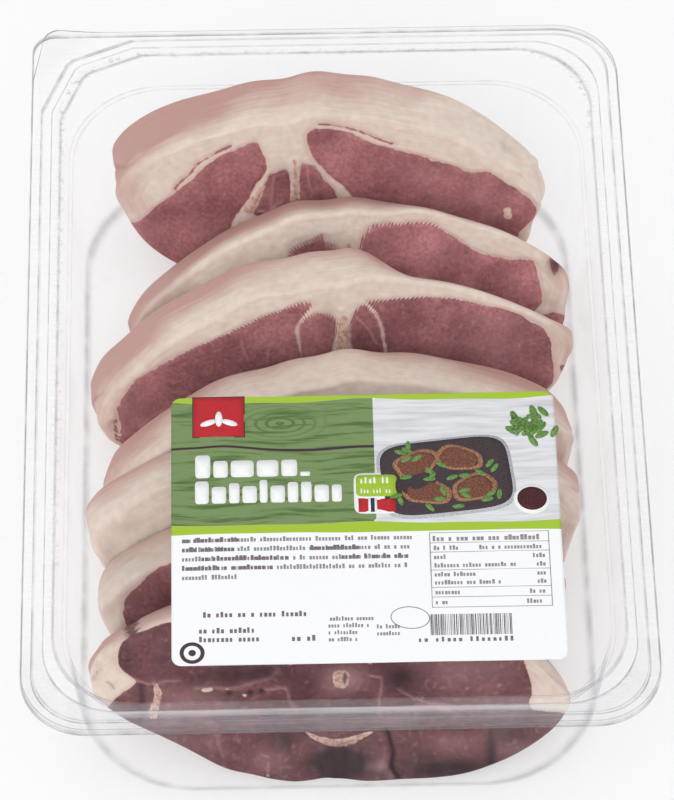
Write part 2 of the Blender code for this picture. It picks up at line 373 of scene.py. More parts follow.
# How a chop is cut, in millimetres across and down its face from the top of its middle.
# lean: outlines of muscles. Its tone: how light the lean is, partly its own red and partly
# painted shade that darkens the chops lying in shade. blotch: how far it is mottled dark. The
# hide's tan: how far the skin is tan at the left end, in the middle and at the right end, partly
# its own tan and partly painted light, lowered to lighten fat that lies in shade. rise: how far
# the skin swells at the back. pale: outlines of bone, gristle and sinew. lines: thin runs with a
# half width, lean inside fat where it is above nought and pale inside lean where it is below.
# seams: soft runs with a half width and a strength, paler tissue and painted light above nought
# and painted shade in grooves below. The painted shade: darker soft places in hollows, gaps and
# creases, and the light: lighter soft places of painted light, highlights and some paler tissue,
# both as (across, down, reach across, reach down, strength). lobes: where the skin swells or
# folds, as (across, down, depth, reach, reach in depth, height). teeth: how far the saw notched
# the top of the lean. A cut may leave out any from lines on.
Cut = namedtuple(
    "Cut",
    "lean tone blotch hide rise pale lines seams dark light lobes teeth",
    defaults=((),) * 5 + (0.0,),
)

# What is hidden behind the next chop is alike in all: fillet and flank on each side, and the
# body of the vertebra. SPINE is the gristle between the two sides.
FILLET = [(13, 46), (15, 40), (24, 38), (36, 40), (42, 47), (38, 55), (26, 60), (15, 59)]
FLANK = [(46, 50), (58, 46), (66, 44), (70, 48), (62, 60), (50, 66), (44, 62)]
SPINE = [(-1, 18), (1, 18), (3, 34), (-3, 34)]
BODY = [(-11, 39), (-6, 37), (7, 37), (12, 39), (13, 46), (9, 54), (0, 57), (-9, 54), (-13, 46)]


def mirrored(outline):
    """The same outline on the left of the spine."""
    return [(-across, down) for across, down in outline[::-1]]


HIDDEN = [FILLET, FLANK, mirrored(FILLET), mirrored(FLANK), BODY]
CUTS = [
    Cut(
        lean=[
            [(-66, 43), (-61.8, 39), (-54.8, 32.7), (-47.9, 27.4), (-42, 21.5), (-38.3, 17.9),
             (-34.1, 14.7), (-25.8, 10.9), (-22.9, 10.1), (-21.3, 13), (-19.7, 19.8), (-24.2, 27.6),
             (-28.3, 35.4), (-30.7, 39.7), (-32.1, 46.4), (-33, 66), (-56, 70), (-68, 52)],
            [(-19.2, 22.8), (-16.6, 21.4), (-13.5, 20.2), (-12.2, 22.4), (-11.5, 28), (-11.6, 36.4),
             (-15.3, 38.7), (-21, 37.7), (-23.9, 36.7), (-22.8, 33.1), (-21.4, 29.5)],
            [(-8.2, 18.8), (-6.2, 18.6), (-3.6, 19.8), (-1.1, 23.8), (1.5, 27.5), (3, 30.3),
             (3, 33), (-3, 38), (-8.2, 36), (-8.6, 27.3)],
            [(-6.4, 8.1), (-3.8, 6.2), (0.8, 5.9), (6, 6.7), (10, 8.1), (17, 11.6), (27.4, 14.8),
             (37.8, 18.4), (47.2, 22), (53, 22.2), (60, 28.4), (64.2, 31.9), (67.8, 35.5),
             (67.9, 40), (63.8, 45.6), (60, 50), (45, 56), (25, 56), (14, 50), (12, 38),
             (7, 29.5), (1.8, 24.1), (-2.2, 19.7), (-5.3, 13)],
        ],
        pale=[
            [(-19.8, 24.6), (-24.8, 30), (-27, 33), (-27, 35.8), (-24.4, 36.1), (-22.8, 31.9)],
            [(-30.6, 46), (-29.4, 41.5), (-27.3, 39.7), (-16, 40), (-13, 44), (-16, 50), (-28, 52)],
            [(-10.9, 17), (-9.5, 17), (-9.7, 25), (-8.6, 36), (-12, 36), (-10.9, 25)],
            [(-12, 40), (-4, 40), (2, 44), (2, 52), (-8, 56), (-14, 50)],
        ],
        lines=[
            ([(-49.4, 27.1), (-46.2, 22.9), (-42.4, 18.1), (-37.2, 14.6), (-30.9, 11.1)], 0.35),
            ([(-2.1, 4.1), (3.7, 4.8), (8.9, 5.8), (13.5, 7.5), (17, 9.3), (21, 11.2)], 0.35),
            ([(59.2, 37.8), (59.4, 40)], -1.3),
        ],
        seams=[
            ([(-17, 23), (-18.5, 33), (-16, 37)], 0.5, 0.5),
            ([(-15, 33), (-19, 36), (-22, 35.4)], 0.6, 0.55),
            ([(-6, 21), (-4.8, 30)], 0.5, 0.5),
            ([(-19.6, 22), (-21.6, 29), (-23.4, 34)], 0.8, 0.45),
            ([(-12, 20.5), (-9, 18.5), (-5, 18.6), (-1, 23)], 0.8, 0.4),
        ],
        dark=[(-14, 23, 4, 5, 0.25), (-5, 26, 5, 8, 0.2), (-40, 42, 14, 8, 0.14)],
        light=[(-60, 40, 8, 9, 0.12), (30, 22, 16, 6, 0.12), (48, 34, 16, 8, 0.16)],
        lobes=[(65, 24, 12, 4.2, 5, 3.6), (59, 18, 11, 3, 4, -1.5), (69, 30, 5, 5, 3, -0.8)],
        tone=1.09,
        blotch=0.14,
        hide=(0.9, 0.1, -0.9),
        rise=2.2,
    ),
    Cut(
        lean=[
            [(8.6, 8.6), (11.5, 7), (23, 7.3), (31, 9.5), (37.5, 14.7), (45.7, 21), (52, 23.7),
             (60.5, 25.7), (62.3, 31), (62.5, 40), (55, 46), (42, 46), (22, 38), (9, 26), (6.4, 13.5)],
            [(-16.7, 12.8), (-9.7, 10.2), (-5.6, 8), (-5.1, 10.8), (-1.4, 14.5), (-1.5, 26),
             (-8, 30), (-15, 27), (-17, 19)],
            [(-19, 17), (-30, 19), (-45, 24), (-58, 32), (-60, 40), (-48, 46), (-30, 42), (-20, 34)],
            [(66, 24.6), (68, 24.2), (69.4, 29), (68, 31.2), (66.6, 28)],
        ] + HIDDEN,
        pale=[[(1, 13), (3.5, 13), (4.5, 24), (6, 34), (-1, 34), (0, 24)]],
        dark=[(-8, 14, 7, 6, 0.55), (12, 11, 5, 5, 0.12), (68, 27.5, 2.2, 3.6, 0.7)],
        light=[(58, 32, 8, 6, 0.1), (30, 18, 18, 7, 0.12)],
        lobes=[(74, 27, 9, 4.6, 6, 3.2), (70, 22, 6, 2.6, 3, -2.2), (74, 39, 10, 1.8, 9, -1.4)],
        tone=1.28,
        blotch=0.2,
        hide=(1.05, 0.4, 0.7),
        teeth=0.85,
        rise=0.6,
    ),
    Cut(
        lean=[
            [(-68.5, 48), (-69.9, 38.1), (-68.6, 33.9), (-66.3, 29.9), (-63.3, 26.7), (-59.8, 24.5),
             (-52, 20.8), (-43, 16.8), (-33.7, 14.1), (-23.9, 11.1), (-14.6, 8.4), (-5.4, 7.2),
             (-6, 9.9), (-8.7, 13.1), (-10.6, 17), (-10.8, 30), (-20, 36), (-45, 44), (-60, 52)],
            [(-9.6, 17.3), (-8.2, 13.8), (-5.9, 12.1), (-3.2, 11.6), (0, 12.7), (2, 14.9),
             (2.3, 18.1), (0.7, 27.2), (-1, 33), (-8, 34), (-9.8, 28)],
            [(13, 10.1), (18, 10.3), (24.4, 9.9), (37, 12.3), (46.4, 15.8), (55.7, 19.5),
             (63.9, 24.7), (69.4, 31.5), (70.7, 41.2), (69, 51), (60, 54), (40, 46), (19, 38),
             (18, 30), (17.6, 24.5), (17.2, 19.4), (15.8, 14.5)],
            [(7.7, 15.3), (9.8, 12.6), (12.4, 11.2), (15.2, 16), (16.4, 20.6), (16.8, 30),
             (15, 35), (8, 34), (6.9, 28.8), (6.6, 20.1)],
            [(72.6, 44.4), (76.5, 44.6), (77, 46.5), (75.3, 49)],
        ] + HIDDEN,
        pale=[
            [(3.9, 14.2), (2.9, 18.2), (1.4, 27.2), (0, 34), (8, 34), (6.5, 28.2), (6.4, 20), (6, 14.2)],
        ],
        lines=[([(-71.4, 40.5), (-71.2, 44.2), (-71, 47.4)], 0.5)],
        seams=[
            ([(-63, 43.5), (-58, 40), (-53, 37.5), (-46, 37)], 0.5, 0.5),
            ([(9.5, 15), (13, 21), (14.8, 25)], 0.4, 0.5),
            ([(-28, 17), (-27, 24)], 0.35, 0.35),
            ([(-20, 20), (-21, 27)], 0.35, 0.3),
        ],
        dark=[(0, 19, 3, 8, 0.3), (10, 24, 5, 6, 0.42), (-20, 20, 8, 8, 0.1), (24, 22, 10, 10, 0.05)],
        light=[(-66, 38, 6, 10, 0.16), (52, 30, 14, 9, 0.2), (4.6, 11.4, 1.3, 1.1, 0.9)],
        lobes=[(76, 30, 9, 5, 6, 2.2), (77, 42, 8, 1.8, 9, -1.8), (-75, 44, 4, 3, 4, -1.0)],
        tone=0.99,
        blotch=0.2,
        hide=(0.7, -0.2, 0.75),
        teeth=0.85,
        rise=0.8,
    ),
    Cut(
        lean=[[(12, 14), (30, 13), (50, 19), (62, 28), (64, 38), (50, 44), (30, 38), (14, 30)],
              [(-12, 14), (-14, 30), (-30, 38), (-50, 44), (-62, 38), (-60, 30), (-48, 20), (-28, 14)]]
        + HIDDEN,
        pale=[SPINE],
        lobes=[(75, 34, 10, 2, 9, -1.5), (-74, 40, 12, 2, 9, -1.2)],
        tone=0.8,
        blotch=0.2,
        hide=(0.4, -0.6, 0.5),
        teeth=0.2,
        rise=0.5,
    ),
    Cut(
        lean=[[(12, 12), (30, 11), (50, 17), (62, 26), (64, 36), (50, 44), (30, 38), (14, 30)],
              [(-12, 12), (-14, 30), (-30, 38), (-50, 44), (-60, 38), (-58, 30), (-46, 21), (-28, 14)]]
        + HIDDEN,
        pale=[SPINE],
        lobes=[(-78, 15, 13, 5, 6, 2.2), (-76, 27, 12, 2, 8, -1.2), (75, 30, 10, 2, 9, -1.5)],
        tone=0.72,
        blotch=0.2,
        hide=(0.1, -0.3, 0.4),
        teeth=0.2,
        rise=0.5,
    ),
    Cut(
        lean=[
            [(-51, 12.7), (-57.6, 16.9), (-61.4, 20.2), (-64.5, 23.4), (-65.8, 27.5), (-65.4, 34),
             (-60, 44), (-45, 46), (-25, 38), (-17, 28), (-14, 16), (-20, 8), (-40, 9.5)],
            [(12, 11), (30, 10), (50, 14), (60, 22), (62, 34), (50, 44), (30, 38), (14, 30)],
        ] + HIDDEN,
        pale=[SPINE],
        dark=[(-57, 24, 14, 12, 0.25)],
        tone=0.76,
        blotch=0.3,
        hide=(-0.3, -0.6, 0.2),
        rise=0.4,
    ),
    Cut(
        lean=[
            [(-47.8, 9.9), (-52.4, 11.2), (-58.5, 13.3), (-62.1, 16.3), (-64.1, 20.2), (-63.8, 23.6),
             (-61.4, 27), (-58.9, 29.3), (-60.5, 31.6), (-63.6, 34.3), (-67, 37.7), (-72, 42),
             (-75, 52), (-50, 76), (0, 84), (50, 76), (80, 52), (74, 44), (61.4, 41.5), (61.4, 35.2),
             (60.9, 30.7), (59.6, 26.7), (58, 18), (50, 12), (35, 8), (20, 8), (15, 14), (13, 25),
             (8, 22), (-8, 22), (-12, 25), (-12, 15), (-18, 7), (-35, 6.5)],
        ],
        pale=[
            [(1.2, 28), (3.6, 27.2), (5.8, 28.6), (5.6, 31.6), (3.6, 33.2), (1.6, 32.2)],
            [(-7.4, 47.8), (-6.2, 49.2), (-3.2, 51.8), (-0.2, 53.3), (4.4, 52.9), (9.5, 50.9),
             (13.2, 48), (9, 49.2), (4, 50.4), (0, 50.6), (-4, 49.2)],
            [(-53.8, 30.2), (-52.2, 30), (-51, 33.6), (-51.8, 38), (-52.8, 42), (-54.6, 41.8),
             (-54.2, 37.4), (-53.2, 33.8)],
        ],
        lines=[
            ([(-38.3, 32.5), (-36.5, 32.7)], -0.7),
            ([(-31.4, 32.3), (-30.9, 32.4)], -0.3),
            ([(-26.4, 34.4), (-25.7, 34.3)], -0.35),
            ([(-19.5, 62.6), (-19.3, 62.9)], -0.5),
        ],
        seams=[
            ([(-40.8, 31.4), (-32.8, 32.1), (-27.7, 31.7), (-22.6, 30.4), (-17.6, 29.3),
              (-15.5, 26.3)], 0.7, 0.34),
            ([(-18.6, 33), (-15.6, 32.3), (-13.6, 32.5), (-13.1, 33.1), (-11.9, 37.7),
              (-10.7, 41)], 0.5, 0.42),
            ([(-58.5, 29), (-55.5, 30.6), (-52.5, 30.2), (-49.5, 28.6), (-45.5, 28.8)], 0.5, 0.4),
            ([(-34.6, 48), (-34.2, 51.5), (-32.7, 55.5)], 0.5, 0.32),
            ([(-19.1, 58.1), (-19.4, 62.7)], 0.3, 0.5),
            ([(12.2, 28.6), (15.2, 29.2), (15.7, 33.7), (14.9, 37.1), (15.1, 43)], 0.45, 0.55),
            ([(20.7, 33.3), (25.3, 36.8), (29.3, 38), (34.4, 38.7), (39.9, 40.5)], 0.5, 0.34),
            ([(26, 39.4), (31.3, 39.2), (35.5, 40.4)], 0.9, 0.6),
            ([(17.1, 47), (19.1, 55.5), (18.6, 60.1), (20.8, 66)], 0.8, -0.85),
            ([(-69.3, 25.3), (-70.6, 26.6), (-72, 28.4)], 0.35, -0.35),
            ([(-67.6, 29.4), (-66.4, 30.2), (-65.6, 31.6)], 0.4, -0.35),
            ([(-57.4, 31.5), (-56.8, 36), (-57.6, 42)], 1.1, -0.6),
        ],
        dark=[
            (-36, 28, 12, 3.2, 0.5), (-20, 27, 8, 3, 0.45), (-58, 22, 5, 6, 0.12),
            (-30.5, 33.8, 0.9, 0.8, 0.8), (-24.2, 33.8, 0.9, 0.8, 0.85), (-20.7, 33.6, 1.0, 0.9, 0.85),
            (-6, 34, 5, 8, 0.35), (8, 38, 7, 5, 0.35), (21.5, 30, 5.5, 5, 0.85), (3, 60, 8.5, 4.6, 1.2),
            (34, 62, 15, 4.4, 0.85), (48.8, 55, 1.7, 7, 0.7), (54, 50, 5, 4, 0.4),
            (4.7, 29.6, 0.6, 1.7, 0.85), (-14, 50, 2.6, 4, 0.55), (-24, 65, 11, 3, 0.6),
            (-16, 40, 4, 9, 0.25), (4, 42, 12, 5, 0.3), (44, 62, 14, 5, 0.3), (-60, 60, 20, 12, 0.25),
            (66, 60, 12, 10, 0.3), (2, 57, 9, 5, 0.8), (-30, 20, 16, 9, 0.2), (12, 22, 8, 6, 0.3),
            (46, 44, 8, 5, 0.2), (-64, 46, 7, 7, 0.3),
        ],
        light=[
            (4, 30, 6.4, 4.4, 0.55), (11, 60, 4, 1.5, 0.55), (15.6, 59.5, 1.7, 2.6, 0.5),
            (18.4, 63.2, 1.3, 2.2, 0.45), (58, 55, 7, 3.4, 0.25), (-44, 50, 9, 4, 0.14),
            (-44, 36, 12, 6, 0.26), (42, 26, 14, 8, 0.26), (38, 52, 8, 3, 0.16), (-19.5, 57, 4, 4, 0.2),
        ],
        lobes=[
            (1, 57, 4, 7, 22, 5.5), (-71, 27, 0, 3.2, 5, -0.95), (-70, 34, 1, 3.0, 5, 1.1),
            (-68, 20, 2, 3.5, 6, 0.9), (67, 30, 1, 3, 5, -0.95), (69, 38, 2, 3.4, 6, 1.0),
        ],
        tone=0.46,
        blotch=0.62,
        hide=(0.2, -0.1, 0.3),
        rise=0.3,
    ),
]


def smooth_outline(points, steps=3):
    """A smooth closed outline through the points: between two of them, the cubic whose
    slopes are those between their neighbours."""
    p = np.array(points, float)
    before, after, beyond = np.roll(p, 1, 0), np.roll(p, -1, 0), np.roll(p, -2, 0)
    s = np.linspace(0, 1, steps, endpoint=False)[None, :, None]
    a, b = p[:, None], after[:, None]
    va, vb = (after - before)[:, None] / 2, (beyond - p)[:, None] / 2
    return cubic(s, a, b, va, vb).reshape(-1, 2)


def chop_pattern(number, cut, u, v, angle):
    """The cut's pattern as distances in millimetres, with the outlines shaken a little: lean
    is how far inside lean meat a point lies, and pale how far inside bone, gristle or sinew.
    The painted shade and the light add up soft hills, one for each place painted darker, as shade
    in hollows, gaps, creases and grooves, or lighter, as painted light, highlights and paler
    tissue, and saw is how deep the saw's notches are."""
    x = u + SHAKE * lattice(u / SHAKE_SIZE, v / SHAKE_SIZE, 10 + number)
    y = v + SHAKE * lattice(u / SHAKE_SIZE, v / SHAKE_SIZE, 40 + number)
    saw = cut.teeth * np.exp(-((angle / SAW_REACH) ** 6))
    lean, pale = (
        np.max([distance_inside(x, y, smooth_outline(outline)) for outline in outlines], axis=0)
        for outlines in (cut.lean, cut.pale)
    )
    for path, half in cut.lines:
        thin = abs(half) - distance_to_path(x, y, path)
        lean = np.maximum(lean, thin) if half > 0 else np.minimum(lean, -thin)
    lean = np.minimum(lean, -pale)
    hills = []
    for places in (cut.dark, cut.light):
        hill = np.zeros(u.shape)
        for across, down, wide, tall, strength in places:
            hill += strength * np.exp(-(((u - across) / wide) ** 2) - ((v - down) / tall) ** 2)
        hills.append(hill)
    for path, half, strength in cut.seams:
        run = abs(strength) * np.exp(-((distance_to_path(x, y, path) / half) ** 2))
        hills[int(strength > 0)] += run
    return lean, pale, np.minimum(hills[0], 0.96), np.minimum(hills[1], 0.9), saw


def even_angles(chop, number, count):
    """Angles at which the outline's points lie evenly along it."""
    dense = np.linspace(-math.pi, math.pi, 2001)
    radius = chop_radius(chop, number, dense)
    run = np.hypot(np.diff(radius * np.sin(dense)), np.diff(radius * np.cos(dense)))
    length = np.concatenate([[0], np.cumsum(run)])
    return np.interp(np.linspace(0, length[-1], count, endpoint=False), length, dense)


def chop_rings(chop):
    """Rings run from the middle of the face out to its edge, round the edge in a quarter
    circle, back along the skin, and in again to the middle of the back. Returns each ring's
    share of the way out, its depth through the thickness, and whether it is on the back."""
    edge = np.radians(np.linspace(0, 90, 6))
    edge_depth = CHOP_EDGE / chop.thick
    round_share = 1 - EDGE_SHARE * (1 - np.sin(edge))
    round_depth = edge_depth * (1 - np.cos(edge))
    face = np.linspace(0.012, 1 - EDGE_SHARE, 84, endpoint=False)
    side = np.linspace(edge_depth, 1 - edge_depth, 22)[1:-1]
    back = np.linspace(1 - EDGE_SHARE, 0.06, 26)[1:]
    flat = np.ones(len(back))
    share = np.concatenate([face, round_share, np.ones(len(side)), round_share[::-1], back])
    depth = np.concatenate([face * 0, round_depth, side, 1 - round_depth[::-1], flat])
    on_back = np.concatenate([np.zeros(len(share) - len(back)), flat])
    return share[:, None], depth[:, None], on_back[:, None]


def build_chop(number, chop, behind, cut, finish):
    """Each ring has its points evenly along the outline. The skin swells in lumps, lobes and
    slow waves between its two edges, and the face rises over its two eyes, sinks at the spine
    and is grained a little by hills of smooth random values."""
    at = even_angles(chop, number, 600)
    radius = chop_radius(chop, number, at)
    share, depth, on_back = chop_rings(chop)
    outline = np.stack([radius * np.sin(at), CHOP_MIDDLE - radius * np.cos(at)], axis=-1)
    step = np.hypot(*np.diff(outline, axis=0, append=outline[:1]).T)
    along = np.concatenate([[0], np.cumsum(step)[:-1]]) + 0 * share
    angle = at + 0 * share
    u = share * outline[:, 0]
    v = CHOP_MIDDLE + share * (outline[:, 1] - CHOP_MIDDLE)
    depth = depth + 0 * u
    rim = distance_inside(u, v, outline[::3])
    lean, pale, dark, light, saw = chop_pattern(number, cut, u, v, angle)
    skin = depth * chop.thick
    outward = np.abs(u) / np.where(u < 0, chop.left.reach, chop.right.reach)
    end = np.clip((outward - 0.62) / 0.36, 0, 1)
    # How far the skin is tan: partly its own tan, partly lowered as painted light where the fat lies in
    # shade
    hide = np.where(u < 0, cut.hide[0], cut.hide[2])
    hide = cut.hide[1] + (hide - cut.hide[1]) * np.clip(outward / 0.8, 0, 1)
    hide = hide * np.clip(skin / 8 + 0.7 * end, 0, 1)

    outer = np.clip((share - 1 + EDGE_SHARE) / EDGE_SHARE, 0, 1)
    lumps = 0.3 * lattice(along / 27, skin / 9, 160 + number)
    lumps += 0.1 * lattice(along / 8, skin / 3, 100 + number)
    lumps += end**2 * 0.9 * lattice(along / 9, skin / 7, 130 + number)
    crease = 9 + 6 * lattice(along / 12, along / 40, 260 + number)
    lumps -= end**2 * 1.1 * np.exp(-(((skin - crease) / 0.9) ** 2))
    for across, down, deep, wide, far, height in cut.lobes:
        away = ((u - across) ** 2 + (v - down) ** 2) / wide**2 + ((skin - deep) / far) ** 2
        lumps += height * np.exp(-away)
        # Deep narrow folds are darkened with painted shade
        dark += 0.3 * (height < -1) * (far < 8) * np.exp(-1.5 * away) * (depth > 0)
    swell = 0.7 * np.sin(math.pi * depth) + cut.rise * depth**2 * (depth < 0.999)
    swell = swell * np.clip((np.cos(angle) + 0.5) / 0.3, 0, 1)
    grow = outer * (lumps + swell)
    u = u + grow * np.sin(angle)
    v = v - grow * np.cos(angle)
    points, thick = place_chop(chop, behind, u, v, depth)

    eyes = np.exp(-(((np.abs(u) - EYE_ACROSS) / 20) ** 2) - ((v - EYE_DOWN) / 12) ** 2)
    spine = np.exp(-((u / 7) ** 2) - ((v - EYE_DOWN) / 14) ** 2)
    relief = EYE_HEIGHT * eyes - SPINE_DIP * spine - 0.4 * np.exp(-((lean / 0.6) ** 2))
    relief += 0.3 * np.clip(pale, 0, 1) + 0.14 * lattice(u / 1.8, v / 1.8, 190 + number)
    relief += 0.45 * lattice(u / 12, v / 12, 220 + number) - 1.2 * dark + 0.8 * light
    relief += end**2 * (lean < -1) * 1.1 * lattice(u / 5, v / 5, 250 + number)
    fade = np.clip(rim / 1.5, 0, 1) * (depth < 0.02)
    points = points + (relief * fade)[..., None] * chop_frame(chop)[3]

    values = {"lean": lean, "pale": pale, "dark": dark, "light": light, "saw": saw}
    values |= {"hide": hide, "skin": depth * thick * (1 - on_back), "along": along, "rim": rim}
    piece = closed_piece(f"lamb_chop_{number}", points, values, finish)
    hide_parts(f"chop_{number}")
    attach(piece, "root")


# Colours of raw lamb, with a near-black brown for painted shade and a pale red for paler tissue
# and painted light, and its patterns: the size of their grains in millimetres, their detail
# and their roughness
LAMB = {
    "red": "#AC7175",
    "deep_red": "#8C565B",
    "blotch": "#55393F",
    "fleck": "#B58C8A",
    # paler tissue, and painted light and highlights
    "paler_red_and_painted_light": "#C4979A",
    "cream": "#E6D8CC",
    "dull_cream": "#DCC8BC",
    "tan": "#CAA39A",
    "dark_tan": "#B98F87",
    "pink_fat": "#D2ABA0",
    "bone": "#D6B5A6",
    "bone_speck": "#B08379",
    # painted shade in hollows, gaps and creases
    "painted_shade_brown": "#2E1D21",
}
LAMB_GRAINS = [
    ("ragged", 2.4, 5.0, 0.62),
    ("cloud", 12, 4.0, 0.5),
    ("bundles", 1.1, 4.0, 0.5),
    ("blotches", 7.5, 6.0, 0.6),
    ("flecks", 1.7, 5.0, 0.5),
    ("patches", 24, 4.0, 0.5),
    ("mottle", 3.2, 6.0, 0.5),
    ("specks", 1.2, 4.0, 0.5),
    ("fine", 0.9, 4.0, 0.5),
]


# Raw lamb, sawn and chilled: lean with fine bundles of fibre and pale flecks, notched by the
# saw along its top, cream fat that turns to a thin pink tan skin with long faint streaks, and
# sawn bone. The cold cut face is moist but not shiny. Light and shade are painted on it: the
# lean is darker on the chops lying in shade, the fat lighter there, a paler red marks light and
# highlights, and a near-black brown fills hollows, gaps and creases.
def raw_lamb(name, tone, blotch):
    made, tree = new_material(name)
    place = add(tree, "TexCoord", out="Object")
    paint = {key: hex_colour(code) for key, code in LAMB.items()}
    value = {
        key: add(tree, "Attribute", out="Fac", attribute_name=key)
        for key in ("lean", "pale", "dark", "light", "saw", "hide", "skin", "along", "rim")
    }
    noise = {
        key: add(
            tree, "TexNoise",
            {"Vector": place, "Scale": per(size), "Detail": detail, "Roughness": rough},
        )
        for key, size, detail, rough in LAMB_GRAINS
    }
    shift = add(tree, "Math", {0: noise["ragged"], 1: -0.5}, operation="ADD")
    shift = add(tree, "Math", {0: shift, 1: 1.9}, operation="MULTIPLY")
    edge = add(tree, "Math", {0: shift, 1: value["lean"]}, operation="ADD")
    notch = add(tree, "Math", {0: value["along"], 1: 0.75}, operation="PINGPONG")
    notch = add(tree, "Math", {0: notch, 1: -0.37}, operation="ADD")
    notch = add(tree, "Math", {0: notch, 1: value["saw"]}, operation="MULTIPLY")
    edge = add(tree, "Math", {0: notch, 1: 1.7, 2: edge}, operation="MULTIPLY_ADD")
    is_lean = add(tree, "MapRange", {0: edge, 1: -0.2, 2: 0.25}, interpolation_type="SMOOTHSTEP")
    inner = add(tree, "Math", {0: shift, 1: 0.6, 2: value["pale"]}, operation="MULTIPLY_ADD")
    is_pale = add(tree, "MapRange", {0: inner, 1: -0.3, 2: 0.5}, interpolation_type="SMOOTHSTEP")

    # Lean: two reds in clouds, fine bundles of fibre, then dark blotches, flecks and light places, the
    # last painted light, highlights and paler tissue
    cloud = add(tree, "MapRange", {0: noise["cloud"], 1: 0.36, 2: 0.64})
    red = add(tree, "Mix", {0: cloud, 6: paint["red"], 7: paint["deep_red"]}, **COLOURS)
    # The chop's tone scales the fibre's brightness: partly the lean's own red, partly painted shade on
    # the chops lying in shade
    grain = {0: noise["bundles"], 1: 0.3, 2: 0.72, 3: 0.76 * tone, 4: 1.26 * tone}
    grain = add(tree, "MapRange", grain)
    red = add(tree, "Mix", {0: 1.0, 6: red, 7: grain}, blend_type="MULTIPLY", **COLOURS)
    blotches = add(tree, "MapRange", {0: noise["blotches"], 1: 0.46, 2: 0.66, 4: blotch})
    flecks = add(tree, "MapRange", {0: noise["flecks"], 1: 0.56, 2: 0.74, 4: 0.42})
    for share, over in ((blotches, "blotch"), (flecks, "fleck"), (value["light"], "paler_red_and_painted_light")):
        red = add(tree, "Mix", {0: share, 6: red, 7: paint[over]}, **COLOURS)

    # Fat and skin: streaks that run along the outline, cream that turns tan, pink by the lean
    lay = add(tree, "CombineXYZ", {0: value["along"], 1: value["skin"], 2: value["rim"]})
    lay = add(tree, "VectorMath", {0: lay, 1: (0.05, 0.8, 0.8)}, operation="MULTIPLY")
    streaks = add(tree, "TexNoise", {"Vector": lay, "Scale": 1.0, "Detail": 6.0, "Roughness": 0.65})
    tan = add(tree, "MapRange", {0: value["skin"], 1: 4.0, 2: 20.0})
    # The chop's tan share: partly the skin's own tan, partly painted light that lightens the fat of
    # chops in shade
    tan = add(tree, "Math", {0: value["hide"], 1: tan}, operation="ADD")
    for pattern, strength in ((streaks, 0.6), (noise["patches"], 1.6)):
        tan = add(tree, "Math", {0: pattern, 1: strength, 2: tan}, operation="MULTIPLY_ADD")
    tan = add(tree, "MapRange", {0: tan, 1: 1.2, 2: 2.2})
    dull = add(tree, "Math", {0: streaks, 1: 0.5, 2: noise["mottle"]}, operation="MULTIPLY_ADD")
    dull = add(tree, "MapRange", {0: dull, 1: 0.55, 2: 0.95})
    cream = add(tree, "Mix", {0: dull, 6: paint["cream"], 7: paint["dull_cream"]}, **COLOURS)
    outer = add(tree, "Mix", {0: streaks, 6: paint["tan"], 7: paint["dark_tan"]}, **COLOURS)
    fat = add(tree, "Mix", {0: tan, 6: cream, 7: outer}, **COLOURS)
    beside = add(tree, "MapRange", {0: edge, 1: -2.2, 2: 0.0, 4: 0.45})
    fat = add(tree, "Mix", {0: beside, 6: fat, 7: paint["pink_fat"]}, **COLOURS)

    specks = add(tree, "MapRange", {0: noise["specks"], 1: 0.42, 2: 0.66})
    bone = add(tree, "Mix", {0: specks, 6: paint["bone"], 7: paint["bone_speck"]}, **COLOURS)
    colour = fat
    # Last the painted shade: a near-black brown laid over hollows, gaps and creases
    for share, over in ((is_pale, bone), (is_lean, red), (value["dark"], paint["painted_shade_brown"])):
        colour = add(tree, "Mix", {0: share, 6: colour, 7: over}, **COLOURS)

    height = add(tree, "Math", {0: streaks, 1: 0.25, 2: noise["fine"]}, operation="MULTIPLY_ADD")
    bump = add(tree, "Bump", {"Height": height, "Strength": 0.22, "Distance": 0.0004})
    rough = add(tree, "MapRange", {0: noise["fine"], 1: 0.3, 2: 0.7, 3: 0.45, 4: 0.6})
    shader = {"Base Color": colour, "Roughness": rough, "Normal": bump, "IOR": 1.4}
    shader |= {"Specular IOR Level": 0.2, "Subsurface Weight": 0.1, "Subsurface Scale": 0.0012}
    shader |= {"Subsurface Radius": (1.0, 0.4, 0.3)}
    add(tree, "OutputMaterial", {"Surface": add(tree, "BsdfPrincipled", shader)})
    return made


def rounded_ring(half_x, half_y, radii, facet=0, arc=16, run=14):
    """Points round a rectangle with an arc at each corner, from the back right corner
    anticlockwise. radii are those of the back right, back left, front left and front right
    corners. facet is how far the back left arc gives way to two straight chamfers."""
    signs = ((1, 1), (-1, 1), (-1, -1), (1, -1))
    parts = []
    for k, ((sx, sy), radius) in enumerate(zip(signs, radii)):
        angles = np.radians(np.linspace(90 * k, 90 * k + 90, arc))
        across, up = np.cos(angles), np.sin(angles)
        if k == 1 and facet:
            ends = np.radians((90, 135, 180))
            across = across + facet * (np.interp(angles, ends, np.cos(ends)) - across)
            up = up + facet * (np.interp(angles, ends, np.sin(ends)) - up)
        x = sx * (half_x - radius) + radius * across
        y = sy * (half_y - radius) + radius * up
        parts.append(np.stack([x, y], axis=-1))
    joined = []
    for here, there in zip(parts, parts[1:] + parts[:1]):
        s = np.linspace(0, 1, run + 2)[1:-1, None]
        joined += [here, here[-1] + s * (there[0] - here[-1])]
    return np.concatenate(joined)


